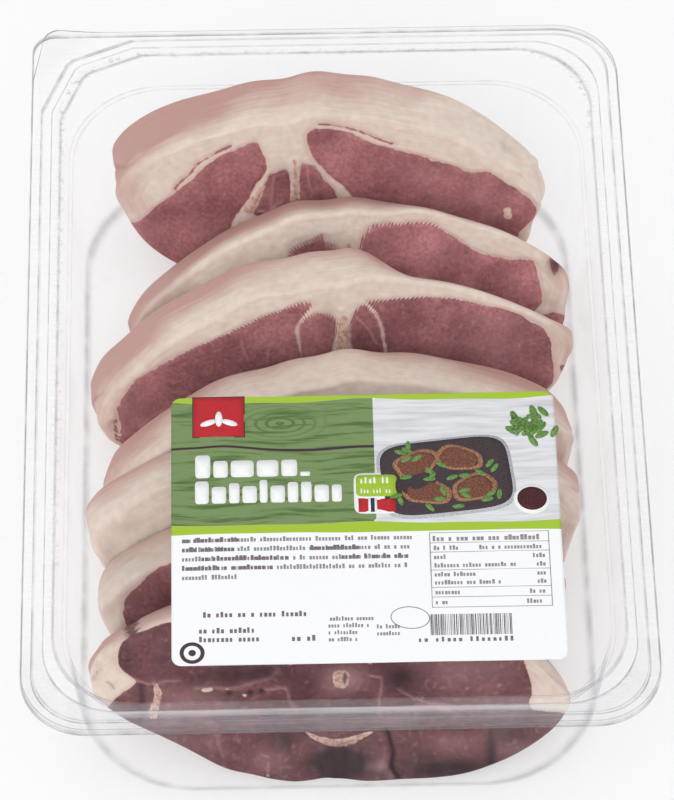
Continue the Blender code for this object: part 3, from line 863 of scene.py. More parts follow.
# The tray's section, one row for each bend: inset from the outer edge, height over the rim,
# plan radius of the corners and of the peel corner, how far that is faceted, the radius of
# the bend, and how strongly the bend shows as a painted grey line, which stands in for the light
# that the bend sends aside.
SECTION = [
    (0.3, -LIP_HEIGHT, RIM_CORNER, PEEL_CORNER, 0, 0, 0.6),
    (0.3, -LIP_DROP, RIM_CORNER, PEEL_CORNER, 0, 0.5, 0.35),
    (LIP_REACH, -LIP_DROP, RIM_CORNER - LIP_REACH, PEEL_FACET, 1, 0.5, 0.8),
    (LIP_REACH + STEP_RUN, -0.3, RIM_CORNER - LIP_REACH, PEEL_FACET, 1, 0.5, 0.35),
    (LAND_INSET - 3, -0.3, MOUTH_CORNER - 4, MOUTH_CORNER, 1, 0.6, 0.55),
    (LAND_INSET, -0.5, MOUTH_CORNER - 2, MOUTH_CORNER, 1, 1.0, 0.5),
    (SHOULDER_INSET + 0.3, -SHOULDER_DEPTH, SHOULDER_CORNER, SHOULDER_CORNER, 0, 0.5, 0.3),
    (SHOULDER_INSET + SHOULDER_RUN + 0.3, -SHOULDER_DEPTH - 0.4, SHOULDER_CORNER,
     SHOULDER_CORNER, 0, 0.5, 0.3),
    (BASE_INSET + 0.3, 0.3 - DEPTH, BASE_CORNER, BASE_CORNER, 0, BASE_EDGE - 0.3, 0.25),
    (BASE_INSET + 30, 0.3 - DEPTH, BASE_CORNER, BASE_CORNER, 0, 0, 0),
    (BASE_INSET + 70, 0.3 - DEPTH, 8, 8, 0, 0, 0),
]


def bent_section(rows, steps=8):
    """The section with each bend rounded: a parabola that touches both sides as far from the
    bend as an arc of its radius would. Its last column rises to the bend's line at the middle
    of the curve and falls to nought at its ends."""
    rows = np.array(rows, float)
    out = [np.append(rows[0, :5], rows[0, 6])]
    for before, here, after in zip(rows[:-2], rows[1:-1], rows[2:]):
        a, b = before[:2] - here[:2], after[:2] - here[:2]
        la, lb = np.hypot(*a), np.hypot(*b)
        half = math.acos(np.clip(a @ b / (la * lb), -1, 1)) / 2
        reach = max(here[5] / max(math.tan(half), 0.05), 0.3)
        reach = min(reach, 0.45 * la, 0.45 * lb)
        start = here[:5] + (before[:5] - here[:5]) * reach / la
        end = here[:5] + (after[:5] - here[:5]) * reach / lb
        s = np.linspace(0, 1, steps)[:, None]
        curve = (1 - s) ** 2 * start + 2 * s * (1 - s) * here[:5] + s**2 * end
        out += list(np.hstack([curve, here[6] * np.sin(math.pi * s) ** 3]))
    out.append(np.append(rows[-1, :5], 0))
    return np.array(out)


def build_tray(finish):
    """One section is carried round the plan twice, a wall apart: the food side and the
    outside, joined under the lip."""
    section = bent_section(SECTION)
    step = np.gradient(section[:, :2], axis=0)
    step /= np.hypot(*step.T)[:, None]
    normal = np.stack([-step[:, 1], step[:, 0]], axis=-1)
    skins = []
    for hand in (1, -1):
        skin = section.copy()
        skin[:, :2] += hand * normal * WALL * 0.42
        skins.append(skin)
    rows = np.concatenate([skins[0][::-1], skins[1]])
    rings = []
    for inset, height, corner, peel, facet, _ in rows:
        half_x, half_y = WIDTH / 2 - inset, LENGTH / 2 - inset
        radii = np.minimum((corner, peel, corner, corner), half_x - 1)
        ring = rounded_ring(half_x, half_y, radii, facet)
        rings.append(np.column_stack([ring, np.full(len(ring), DEPTH + height)]))
    grid = np.array(rings)

    # Seen from above, two milky strips run along the sides and the back, partly haze of the
    # pressed sheet and partly painted reflection, and at the front the flange is a pale plate with
    # one bright line, a painted highlight, and a painted grey veil over its bends.
    inset, on_top = rows[:, :1], rows[:, 1:2] > -1.2
    plain_land = inset < LAND_INSET - 2.8
    front = np.clip((-grid[..., 1] - 98) / 14, 0, 1)
    inner = 0.22 * np.exp(-(((inset - LAND_INSET + 0.3) / 0.8) ** 4))
    plate = 0.02 * plain_land + 0.3 * np.exp(-(((inset - 6.5) / 0.3) ** 2))
    haze_and_painted_highlight = 0.26 * np.exp(-(((inset - LIP_REACH + 1.2) / 0.9) ** 4)) * (1 - 0.7 * front)
    haze_and_painted_highlight = (haze_and_painted_highlight + 0.03 + inner * (1 - front) + plate * front) * on_top
    bend = rows[:, 5:] + 0.07 * front * plain_land * on_top
    piece = closed_piece("tray_sheet", grid, {"bend": bend, "haze_and_painted_highlight": haze_and_painted_highlight}, finish)
    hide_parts("tray")
    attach(piece, "root")


def past_chamfer(x, y):
    """How far a point lies past the peel corner's chamfer, as x and y together."""
    return -x + y - (WIDTH + LENGTH) / 2 + TAB_REACH


def film_height(x, y):
    """Height of the lid film over the rim: slack in slow waves inside the seal, nearly flat on
    it, and the loose peel corner lifting past its chamfer."""
    inside = np.minimum(WIDTH / 2 - np.abs(x), LENGTH / 2 - np.abs(y)) - LAND_INSET
    slack = np.clip(inside / SLACK_REACH, 0, 1) ** 0.7
    waves = 0.4 * lattice(x / 31, y / 27, 301) + 0.1 * lattice(x / 13, y / 11, 302)
    lift = TAB_LIFT * np.clip(past_chamfer(x, y) / 14, 0, 1) ** 1.5
    return FILM_LIFT + slack * (SLACK_RISE + waves) + lift


def build_film(finish):
    """Rings at growing insets from the film's edge, each at the film's height: once for the
    top side and once, a film's thickness down, for the underside. The peel corner leans in
    towards the back."""
    insets = np.concatenate([[FILM_INSET, FILM_INSET + 0.35], np.linspace(1.5, 13, 18)])
    insets = np.concatenate([insets, np.linspace(15, 90, 44)])
    rings = []
    for inset in insets:
        inner = np.clip((inset - LIP_REACH) / (LAND_INSET - LIP_REACH), 0, 1)
        corner = RIM_CORNER + (MOUTH_CORNER - RIM_CORNER) * inner
        half_x, half_y = WIDTH / 2 - inset, LENGTH / 2 - inset
        peel = 3 + (MOUTH_CORNER - 3) * np.clip(inset / LAND_INSET, 0, 1)
        radii = np.minimum((corner, peel, corner, corner), half_x - 0.5)
        rings.append(rounded_ring(half_x, half_y, radii, arc=18, run=30))
    plan, insets = np.array(rings), insets[:, None]
    x, y = plan[..., 0], plan[..., 1]
    x = x + 4.5 * np.clip(1 - insets / 6, 0, 1) * np.clip((y - 112) / 20, 0, 1) * (x < -70)
    top = np.stack([x, y, DEPTH + film_height(x, y)], axis=-1)
    grid = np.concatenate([top[::-1], top - (0, 0, FILM_SHEET)])
    loose = np.clip(past_chamfer(x, y) / 6, 0, 1)
    crimped = np.maximum(np.clip((y - 70) / 30, 0, 1), (x < -70) * np.clip((y + 90) / 40, 0, 0.7))
    seal = np.exp(-(((insets - LAND_INSET - 0.4) / 0.9) ** 2)) * crimped
    rim = (insets < FILM_INSET + 0.1) * (0.35 + 0.5 * loose)
    values = {"seal": seal, "edge": rim, "loose": loose}
    values = {key: np.concatenate([side[::-1], side]) for key, side in values.items()}
    piece = closed_piece("clear_lid_film", grid, values, finish)
    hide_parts("lid_film")
    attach(piece, "root")


def clear_plastic(tree, haze_and_painted_reflection, line, tint_from, edge_tint, face_gleam, edge_gleam, roughness):
    """A clear sheet's shader: straight through, tinted where it is seen edge on, white by milk,
    the share of haze and painted reflection, grey by line, which paints the light that bends
    and creases send aside, and gleaming by Schlick: face_gleam face on, rising with the fifth
    power."""
    facing = add(tree, "LayerWeight", {"Blend": 0.5}, out="Facing")
    steep = add(
        tree, "MapRange", {0: facing, 1: tint_from, 2: 1.0}, interpolation_type="SMOOTHSTEP"
    )
    tint = {0: steep, 6: hex_colour("#FFFFFF"), 7: hex_colour(edge_tint)}
    tint = add(tree, "Mix", tint, **COLOURS)
    through = add(tree, "BsdfTransparent", {"Color": tint})
    white = add(tree, "BsdfDiffuse", {"Color": hex_colour("#F6F6F9")})
    painted_line_grey = add(tree, "BsdfDiffuse", {"Color": hex_colour("#8E9096")})
    gleam = add(tree, "BsdfGlossy", {"Color": (1, 1, 1, 1), "Roughness": roughness})
    body = add(tree, "MixShader", {0: haze_and_painted_reflection, 1: through, 2: white})
    body = add(tree, "MixShader", {0: line, 1: body, 2: painted_line_grey})
    power = add(tree, "Math", {0: facing, 1: 5.0}, operation="POWER")
    share = add(tree, "Math", {0: power, 1: edge_gleam, 2: face_gleam}, operation="MULTIPLY_ADD")
    shader = add(tree, "MixShader", {0: share, 1: body, 2: gleam})
    add(tree, "OutputMaterial", {"Surface": shader})


# Clear polyester sheet, thermoformed: almost unseen face on. Its bends send the light aside,
# and this is painted as thin grey lines; two strips of the pressed flange are painted white,
# partly their haze and partly painted reflection, with a painted highlight line at the front.
# The walls carry faint streaks from the drawing, along their height.
def tray_plastic():
    made, tree = new_material("clear_polyester_thermoformed")
    place = add(tree, "TexCoord", out="Object")
    bend, haze_and_painted_highlight = (
        add(tree, "Attribute", out="Fac", attribute_name=key) for key in ("bend", "haze_and_painted_highlight")
    )
    broken = add(tree, "TexNoise", {"Vector": place, "Scale": per(9), "Detail": 3.0})
    broken = add(tree, "MapRange", {0: broken, 1: 0.35, 2: 0.6, 3: 0.3, 4: 0.8})
    # The painted grey lines at the bends, broken up a little
    line = add(tree, "Math", {0: bend, 1: broken}, operation="MULTIPLY")
    uneven = add(tree, "VectorMath", {0: place, 1: (per(30), per(1.1), 0)}, operation="MULTIPLY")
    uneven = add(tree, "TexNoise", {"Vector": uneven, "Scale": 1.0, "Detail": 3.0})
    uneven = add(tree, "MapRange", {0: uneven, 1: 0.3, 2: 0.7, 3: 0.6, 4: 1.3})
    # The white strips: haze and painted reflection, with faint streaks from the drawing
    haze_and_painted_reflection = add(tree, "Math", {0: haze_and_painted_highlight, 1: uneven}, operation="MULTIPLY")
    drawn = add(tree, "VectorMath", {0: place, 1: (per(7), per(7), per(90))}, operation="MULTIPLY")
    drawn = add(tree, "TexNoise", {"Vector": drawn, "Scale": 1.0, "Detail": 3.0})
    drawn = add(tree, "MapRange", {0: drawn, 1: 0.5, 2: 0.75, 3: 0.001, 4: 0.02})
    haze_and_painted_reflection = add(tree, "Math", {0: haze_and_painted_reflection, 1: drawn}, operation="ADD", use_clamp=True)
    clear_plastic(tree, haze_and_painted_reflection, line, 0.88, "#E9EBEF", 0.002, 0.12, 0.15)
    return made


# Clear film drawn over the tray and heat sealed: the seal's inner edge is crimped in short
# strokes, and the loose corner and the cut edge show pale grey; the strokes and the grey are
# painted, standing in for the light that the crimps, the lifted corner and the edge send aside.
def film_plastic():
    made, tree = new_material("clear_film_heat_sealed")
    place = add(tree, "TexCoord", out="Object")
    seal, edge, loose = (
        add(tree, "Attribute", out="Fac", attribute_name=key) for key in ("seal", "edge", "loose")
    )
    # Painted grey strokes for the crimps, and painted grey at the cut edge
    painted_crimp_lines = add(tree, "TexNoise", {"Vector": place, "Scale": per(1.6), "Detail": 4.0})
    painted_crimp_lines = add(tree, "MapRange", {0: painted_crimp_lines, 1: 0.52, 2: 0.68, 4: 0.2})
    painted_crimp_lines = add(tree, "Math", {0: painted_crimp_lines, 1: seal, 2: edge}, operation="MULTIPLY_ADD")
    line = add(tree, "Math", {0: loose, 1: 0.03, 2: painted_crimp_lines}, operation="MULTIPLY_ADD", use_clamp=True)
    clear_plastic(tree, 0.002, line, 0.75, "#E6E8EC", 0.002, 0.16, 0.08)
    return made


# The label's print: how far the label and each ink lie over the film, and how thick they are,
# the edges of the bands and fields, the knot in the green planks and the planks' height, in
# millimetres
LABEL_LIFT = 0.2
LABEL_SHEET = 0.1
INK_SHEET = 0.03
BAND_TOP = -16.5
BAND_LOW = (-61.8, -65.0)
PICTURE_LEFT = 11.9
KNOT = (-16.7, -24.6, 64.2)
PLANK = 21.8
PLANK_START = 33.5
PLANK_GAP = (0.3, 0.6)


def band_wave(x):
    """Slow waves of the printed bands' edges."""
    return 0.55 * np.sin(x / 11 + 0.7) + 0.3 * np.sin(x / 5.1)


def build_label(finish):
    """A thin plate on the film: lines of points across it, narrower near its rounded
    corners, over the top and back along the underside. The bands and fields of the print are
    distances in millimetres into each field."""
    centre = ((LABEL_LEFT + LABEL_RIGHT) / 2, (LABEL_FRONT + LABEL_BACK) / 2)
    half = ((LABEL_RIGHT - LABEL_LEFT) / 2, (LABEL_BACK - LABEL_FRONT) / 2)
    near = LABEL_CORNER * (1 - np.cos(np.radians(np.linspace(4, 90, 8))))
    straight = np.linspace(-half[1] + 3.8, half[1] - 3.8, 96)
    rows = np.concatenate([near - half[1], straight, half[1] - near[::-1]])
    to_edge = np.minimum(half[1] - np.abs(rows), LABEL_CORNER)
    cut = LABEL_CORNER - np.sqrt(LABEL_CORNER**2 - (LABEL_CORNER - to_edge) ** 2)
    x = centre[0] + (half[0] - cut)[:, None] * np.linspace(-1, 1, 130)
    y = centre[1] + rows[:, None] + 0 * x
    top = np.stack([x, y, DEPTH + LABEL_LIFT + film_height(x, y)], axis=-1)
    grid = np.concatenate([top, (top - (0, 0, LABEL_SHEET))[:, ::-1]], axis=1)
    gx, gy = grid[..., 0], grid[..., 1]
    wave = band_wave(gx)
    low = gy - BAND_LOW[0] - 0.6 * wave
    field = np.minimum(BAND_TOP + wave - gy, low)
    values = {
        "lime": np.maximum(gy - BAND_TOP - wave, np.minimum(-low, gy - BAND_LOW[1] + 0.2 * wave)),
        "green": np.minimum(field, PICTURE_LEFT - gx),
        "picture": np.minimum(field, gx - PICTURE_LEFT),
    }
    piece = closed_piece("printed_label", grid, values, finish)
    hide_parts("label")
    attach(piece, "root")


def ink(name, outlines, lift, finish, rings=1):
    """Printed shapes as thin plates: outlines is shapes by points by (x, y), each shrunk
    towards its middle in even rings and laid on the label."""
    outlines = np.asarray(outlines, float)
    count, corners = outlines.shape[:2]
    middle = outlines.mean(axis=1, keepdims=True)
    share = np.arange(rings, -1, -1) / rings
    plan = middle[:, None] + (outlines - middle)[:, None] * share[None, :, None, None]
    z = DEPTH + LABEL_LIFT + lift + film_height(plan[..., 0], plan[..., 1])
    top = np.concatenate([plan, z[..., None]], axis=-1)
    tip, top = top[:, -1, :1], top[:, :-1]
    under = top[:, :1] - (0, 0, INK_SHEET)
    grid = np.concatenate([under, top], axis=1).reshape(count, -1, 3)
    points = np.concatenate([grid, tip, tip - (0, 0, INK_SHEET)], axis=1)
    fans, last = fan_faces(rings + 1, corners), (rings + 1) * corners
    fans = np.where(fans >= last, last * 2 + 1 - fans, fans)
    offset = (np.arange(count) * points.shape[1])[:, None, None]
    piece = mesh_piece(
        name,
        points.reshape(-1, 3),
        (tube_faces(rings + 1, corners) + offset).reshape(-1, 4),
        (fans + offset).reshape(-1, 3),
        smooth=False,
    )
    piece.data.materials.append(finish)
    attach(piece, "root")


def boxes(rows):
    """Outlines of upright rectangles given as left, front, right and back."""
    return np.array(rows, float)[:, [[0, 1], [2, 1], [2, 3], [0, 3]]]


def blob(x, y, long, wide, turn, points=40, square=2.0, dent=0.0, seed=0):
    """A rounded outline: an ellipse whose power makes it squarer, turned, with a few slow
    dents."""
    a = np.linspace(0, 2 * math.pi, points, endpoint=False)
    r = (np.abs(np.cos(a)) ** square + np.abs(np.sin(a)) ** square) ** (-1 / square)
    r = r * (1 + dent * (np.sin(3 * a + seed) + 0.6 * np.sin(5 * a + 2 * seed)))
    px, py = long * r * np.cos(a), wide * r * np.sin(a)
    c, s = math.cos(math.radians(turn)), math.sin(math.radians(turn))
    return np.stack([x + px * c - py * s, y + px * s + py * c], -1)


def ring_strips(outer, inner):
    """A ring between two outlines of as many points, as four-cornered plates."""
    a, b = np.roll(outer, -1, axis=0), np.roll(inner, -1, axis=0)
    return np.stack([outer, a, b, inner], axis=1)


def word_rows(groups, seed):
    """Rows of plain upright blocks in groups, as small print looks from afar. groups gives
    (height, block width, pitch) and the rows that have it, each as left, right and line."""
    random = np.random.default_rng(seed)
    made = []
    for (height, wide, pitch), rows in groups:
        for left, right, line in rows:
            count = max(int((right - left) / pitch), 2)
            at = left + pitch * np.arange(count)
            gap = random.random(count) < 0.16
            gap[1:] &= ~gap[:-1]
            gap[0] = False
            at, width = at[~gap], wide * random.uniform(0.75, 1.1, (~gap).sum())
            tall = height * random.choice((0.70, 0.70, 0.70, 0.98), len(at))
            made.append(np.stack([at, 0 * at + line, at + width, line + tall], axis=-1))
    return boxes(np.concatenate(made))


# The colours of the print, each with the colour of its dots
INKS = {
    "dark_brown": ("#4A3A42", "#544249"),
    "warm_grey": ("#8F878B", "#A39B9F"),
    "white": ("#FAFBFB", "#F0F3F3"),
    "red": ("#C02F35", "#B92C33"),
    "lime": ("#A6C93C", "#9DBF38"),
    "navy": ("#2C3450", "#333B58"),
    "slate": ("#3D3438", "#4C4347"),
    "steel": ("#C9CBD0", "#A9ABB2"),
    "browned_meat": ("#8A5A48", "#5C3A30"),
    "crust": ("#B98B6A", "#7E5341"),
    "leaf": ("#4F7A3C", "#7FA55C"),
    "berry": ("#3A2024", "#5A2E32"),
    "print": ("#75686D", "#83777C"),
}


def printed_ink(name, colour, speck):
    """Offset ink on coated paper: satin, with a faint dot grain of 0.5 mm."""
    made, tree = new_material(name)
    place = add(tree, "TexCoord", out="Object")
    dots = add(tree, "TexNoise", {"Vector": place, "Scale": per(0.5), "Detail": 2.0})
    dots = add(tree, "MapRange", {0: dots, 1: 0.35, 2: 0.65})
    mixed = add(tree, "Mix", {0: dots, 6: hex_colour(colour), 7: hex_colour(speck)}, **COLOURS)
    shader = {"Base Color": mixed, "Roughness": 0.45, "Specular IOR Level": 0.15}
    add(tree, "OutputMaterial", {"Surface": add(tree, "BsdfPrincipled", shader)})
    return made


# Coated label paper, offset printed: lime bands, a field of green stained planks with dark
# gaps, grain and a knot, a field of pale grey planks, and plain white. Satin.
def label_paper():
    made, tree = new_material("coated_paper_offset_printed")
    place = add(tree, "TexCoord", out="Object")
    inside = {}
    for key in ("lime", "green", "picture"):
        field = add(tree, "Attribute", out="Fac", attribute_name=key)
        inside[key] = add(tree, "MapRange", {0: field, 1: -0.05, 2: 0.05})
    fibre = add(tree, "TexNoise", {"Vector": place, "Scale": per(0.8), "Detail": 2.0})

    # Planks: lines along x that a slow noise bends, rings round the knot, and gaps
    bend = add(tree, "TexNoise", {"Vector": place, "Scale": per(30), "Detail": 1.0})
    bend = add(tree, "Math", {0: bend, 1: -0.5}, operation="ADD")
    x, y = (add(tree, "SeparateXYZ", {0: place}, out=axis) for axis in "XY")
    flow = add(tree, "Math", {0: bend, 1: 0.006, 2: y}, operation="MULTIPLY_ADD")
    lines = add(tree, "Math", {0: flow, 1: per(1.9)}, operation="MULTIPLY")
    slide = add(tree, "Math", {0: x, 1: per(26)}, operation="MULTIPLY")
    turn = add(tree, "CombineXYZ", {0: slide, 1: lines, 2: 0.0})
    grain = add(tree, "TexNoise", {"Vector": turn, "Scale": 1.0, "Detail": 4.0, "Roughness": 0.6})
    dark_lines = add(tree, "MapRange", {0: grain, 1: 0.50, 2: 0.62})
    pale_lines = add(tree, "MapRange", {0: grain, 1: 0.42, 2: 0.7})
    knot = {0: place, 1: [part * MM for part in KNOT]}
    knot = add(tree, "VectorMath", knot, operation="SUBTRACT")
    knot = add(tree, "VectorMath", {0: knot, 1: (60, 130, 0)}, operation="MULTIPLY")
    knot = add(tree, "VectorMath", {0: knot}, out="Value", operation="LENGTH")
    near = {0: knot, 1: 0.0, 2: 1.3, 3: 1.0, 4: 0.0}
    near = add(tree, "MapRange", near, interpolation_type="SMOOTHSTEP")
    circle = add(tree, "Math", {0: knot, 1: 5 * 6.283}, operation="MULTIPLY")
    circle = add(tree, "Math", {0: circle}, operation="SINE")
    circle = add(tree, "MapRange", {0: circle, 1: 0.2, 2: 0.9})
    circle = add(tree, "Math", {0: circle, 1: near}, operation="MULTIPLY")
    dark_lines = add(tree, "Math", {0: dark_lines, 1: circle}, operation="MAXIMUM")
    gaps = add(tree, "Math", {0: flow, 1: PLANK_START * MM}, operation="ADD")
    gaps = add(tree, "Math", {0: gaps, 1: PLANK * MM}, operation="PINGPONG")
    gaps = {0: gaps, 1: PLANK_GAP[0] * MM, 2: PLANK_GAP[1] * MM, 3: 1.0, 4: 0.0}
    gaps = add(tree, "MapRange", gaps)

    green, pale, white, lime = (
        add(tree, "Mix", {0: share, 6: hex_colour(one), 7: hex_colour(other)}, **COLOURS)
        for share, one, other in (
            (dark_lines, "#7A9160", "#566F40"),
            (pale_lines, "#E2E3E6", "#C2C2C8"),
            (fibre, "#F8F9FB", "#F3F6F9"),
            (fibre, "#A8C83E", "#A0C03C"),
        )
    )
    green = add(tree, "Mix", {0: gaps, 6: green, 7: hex_colour("#43303A")}, **COLOURS)
    colour = white
    for key, over in (("green", green), ("picture", pale), ("lime", lime)):
        colour = add(tree, "Mix", {0: inside[key], 6: colour, 7: over}, **COLOURS)
    bump = add(tree, "Bump", {"Height": fibre, "Strength": 0.05, "Distance": 0.0001})
    shader = {"Base Color": colour, "Roughness": 0.45, "Specular IOR Level": 0.15}
    shader = add(tree, "BsdfPrincipled", shader | {"Normal": bump})
    add(tree, "OutputMaterial", {"Surface": shader})
    return made


# Small and bold print: height, block width and pitch, and the rows that have them
SMALL_PRINT = [
    ((1.7, 0.72, 0.98), [
        (-46.8, 22.8, -67.9), (-46.8, 22.4, -71.2), (-46.8, 21.6, -74.5), (-46.8, 21.4, -77.8),
        (-46.8, -29.5, -81.1),
    ]),
    ((1.9, 0.95, 1.2), [(28.6, 61.0, -68.7)]),
    ((1.6, 0.7, 0.95), [
        (28.8, 37.0, -71.9), (42.5, 62.0, -71.9), (28.8, 33.5, -75.1), (28.8, 54.5, -78.1),
        (58.5, 62.6, -75.1), (59.5, 62.6, -78.1), (28.8, 42.0, -81.3), (28.8, 49.0, -84.2),
        (59.5, 62.6, -81.3), (59.5, 62.6, -84.2), (28.8, 36.5, -87.7), (57.0, 62.6, -87.7),
        (28.8, 33.5, -91.2), (56.0, 62.6, -91.2),
    ]),
    ((1.5, 0.62, 0.88), [
        (-2.9, 11.0, -96.2), (-3.4, 9.0, -98.6), (-3.4, 6.0, -101.0), (-3.4, 6.0, -103.4),
        (11.0, 18.5, -99.2), (11.0, 18.5, -101.6),
    ]),
]
BOLD_PRINT = [
    ((1.8, 0.92, 1.14), [
        (-46.8, -29.0, -67.9), (-46.8, -30.0, -71.2), (-8.2, 7.2, -71.2), (-41.0, -14.0, -74.5),
        (1.0, 21.6, -74.5), (-46.8, -19.0, -77.8),
    ]),
    ((1.9, 0.85, 1.3), [(-40.6, -9.4, -94.4), (-41.8, -23.7, -99.9), (-41.8, -23.0, -102.9)]),
    ((2.0, 1.0, 1.5), [(-14.3, -4.5, -103.0)]),
    ((1.7, 0.85, 1.7), [(23.3, 53.6, -104.2)]),
]
BADGE_PRINT = [((2.4, 0.7, 1.3), [(7.4, 17.2, -47.6)]), ((1.9, 0.45, 0.95), [(7.4, 17.2, -51.2)])]

# The two rows of title bars: left end, foot, gap, widths and heights
TITLE = [
    (-42.7, -44.4, 0.9, (4.6, 4.4, 7.0, 6.6, 4.8, 3.0), (8.4, 6.2, 6.2, 6.2, 6.2, 1.6)),
    (-42.8, -54.0, 0.85, (4.2, 4.4, 3.2, 4.4, 2.4, 4.4, 3.2, 3.2, 4.4, 3.0),
     (8.4, 6.2, 7.4, 6.2, 8.4, 6.2, 7.4, 7.4, 6.2, 6.2)),
]
TABLE_LINES = (-65.7, -69.3, -72.6, -79.0, -85.2, -88.6, -92.2)
BARS_LEFT, BARS_WIDE, BARS_FRONT, BARS_BACK = 26.9, 24.4, -101.9, -94.6


def build_print():
    """The label's plain shapes: a square with a sprig, title bars, a badge, a generic
    serving picture, rows of strokes for small print, a table, bars and a round mark. Each is
    laid a little over what it covers."""
    sprig = [(-38.6, -24, 2.6, 1.0, 20), (-35.4, -22.6, 2.8, 1.1, 90), (-32.2, -24, 2.6, 1.0, -20)]
    title = []
    for left, foot, gap, wide, tall in TITLE:
        starts = left + np.cumsum((0,) + wide[:-1]) + gap * np.arange(len(wide))
        for x, w, h in zip(starts, wide, tall):
            title.append(blob(x + w / 2, foot + h / 2, w / 2, h / 2, 0, 40, 7.0))
    pieces = [
        blob(x, y, long, wide, turn, 60, 2.3, 0.05, seed)
        for seed, (x, y, long, wide, turn) in enumerate((
            (24.5, -40.5, 7.2, 4.6, 25), (37.5, -38.8, 7.4, 4.4, -12),
            (27.5, -51.0, 7.6, 4.4, -8), (42.0, -49.6, 7.0, 4.8, 18),
        ), start=1)
    ]
    smaller = [(piece - piece.mean(axis=0)) * 0.8 + piece.mean(axis=0) for piece in pieces]
    random = np.random.default_rng(11)
    spots = random.uniform((17, -57), (50, -34), (26, 2))
    leaves = [blob(x, y, 1.9, 0.8, t) for (x, y), t in zip(spots, random.uniform(0, 180, 26))]
    spread = random.normal((59.5, -27.5), (3.0, 2.6), (30, 2))
    leaves += [blob(x, y, 2.3, 1.0, t) for (x, y), t in zip(spread, random.uniform(0, 180, 30))]
    lines = [(27.7, y - 0.1, 63.6, y + 0.1) for y in TABLE_LINES]
    lines += [(27.6, -92.3, 27.85, -65.6), (63.4, -92.3, 63.65, -65.6)]
    gaps = random.choice((0.42, 0.42, 0.8, 1.1), 58)
    wide = random.choice((0.30, 0.30, 0.55, 0.80), 58)
    fit = BARS_WIDE / (gaps + wide).sum()
    start = BARS_LEFT + np.concatenate([[0], np.cumsum(gaps + wide)[:-1]]) * fit
    flat = 0 * start
    bars = np.stack([start, flat + BARS_FRONT, start + wide * fit, flat + BARS_BACK], -1)
    oval = [blob(21.0, -95.6, *half, -6, 72) for half in ((5.9, 3.9), (5.6, 3.6))]
    mark = [blob(-43.9, -106.6, half, half, 0, 72) for half in (3.7, 2.5)]
    shapes = [
        ("square_edge", boxes([(-43.5, -29.5, -27.4, -14.2)]), 0.02, "dark_brown", 3),
        ("square", boxes([(-43.2, -29.2, -27.7, -14.5)]), 0.04, "red", 3),
        ("square_sprig", [blob(*leaf) for leaf in sprig], 0.06, "white", 1),
        ("title_bars", title, 0.03, "white", 1),
        ("badge_rim", [blob(12.2, -51.2, 6.9, 7.4, 0, 60, 7.0)], 0.03, "white", 2),
        ("badge_top", [blob(12.2, -48.4, 6.2, 4.0, 0, 60, 8.0)], 0.05, "lime", 2),
        ("badge_words", word_rows(BADGE_PRINT, 5), 0.07, "white", 1),
        ("badge_stripe_red", boxes([(6.6, -58.0, 17.8, -53.0)]), 0.05, "red", 2),
        ("badge_stripe_white", boxes([(9.6, -58.0, 12.2, -53.0)]), 0.07, "white", 1),
        ("badge_stripe_navy", boxes([(10.3, -58.0, 11.5, -53.0)]), 0.09, "navy", 1),
        ("board_rim", [blob(33.5, -45.5, 20.6, 14.2, 6, 90, 5.0)], 0.02, "steel", 8),
        ("board", [blob(33.5, -45.2, 19.6, 13.2, 6, 90, 5.0)], 0.04, "slate", 8),
        ("browned_pieces", pieces, 0.07, "crust", 3),
        ("browned_middles", smaller, 0.10, "browned_meat", 3),
        ("green_leaves", leaves, 0.13, "leaf", 1),
        ("dish_rim", [blob(59.2, -54.2, 5.6, 5.4, 0, 60)], 0.04, "white", 2),
        ("dish_sauce", [blob(59.2, -54.0, 4.5, 4.2, 0, 60)], 0.06, "berry", 2),
        ("small_print", word_rows(SMALL_PRINT, 21), 0.03, "warm_grey", 1),
        ("bold_print", word_rows(BOLD_PRINT, 22), 0.05, "print", 1),
        ("table_lines", boxes(lines), 0.03, "warm_grey", 6),
        ("upright_bars", boxes(bars), 0.03, "dark_brown", 3),
        ("oval_ring", ring_strips(*oval), 0.03, "warm_grey", 1),
        ("round_mark", ring_strips(*mark), 0.03, "dark_brown", 1),
        ("round_mark_middle", [blob(-43.9, -106.6, 1.1, 1.1, 0, 40)], 0.03, "dark_brown", 1),
    ]
    inks = {key: printed_ink(f"{key}_ink", *codes) for key, codes in INKS.items()}
    for name, outlines, lift, key, rings in shapes:
        ink(name, outlines, lift, inks[key], rings)


# View and light. The picture's height and the focal length are in pixels, distances and the
# target in millimetres, and angles in degrees. The light is given in metres and watts.
FOCAL_PIXELS = 4500
VIEW_DISTANCE = 1384
VIEW_TARGET = (1.0, -15.7, DEPTH)
VIEW_ELEVATION = 55.02
VIEW_AZIMUTH = -1.39
VIEW_ROLL = 0.12
PICTURE_HEIGHT = 800
SENSOR = 36.0
KEY_PLACE = (-0.4, -1.0, 1.3)
KEY_SIZE = 1.3
KEY_POWER = 8.5
SKY_STRENGTH = 0.82
FLOOR_REACH = 3000
FLOOR_DROP = 0.05


def set_up(name, data, axes, place):
    """Puts a camera or light at a place in metres, with the given x, y and z axes."""
    obj = bpy.data.objects.new(name, data)
    matrix = np.eye(4)
    matrix[:3, :3] = np.stack(axes, axis=-1)
    matrix[:3, 3] = place
    obj.matrix_world = Matrix(matrix.tolist())
    bpy.context.scene.collection.objects.link(obj)
    return obj


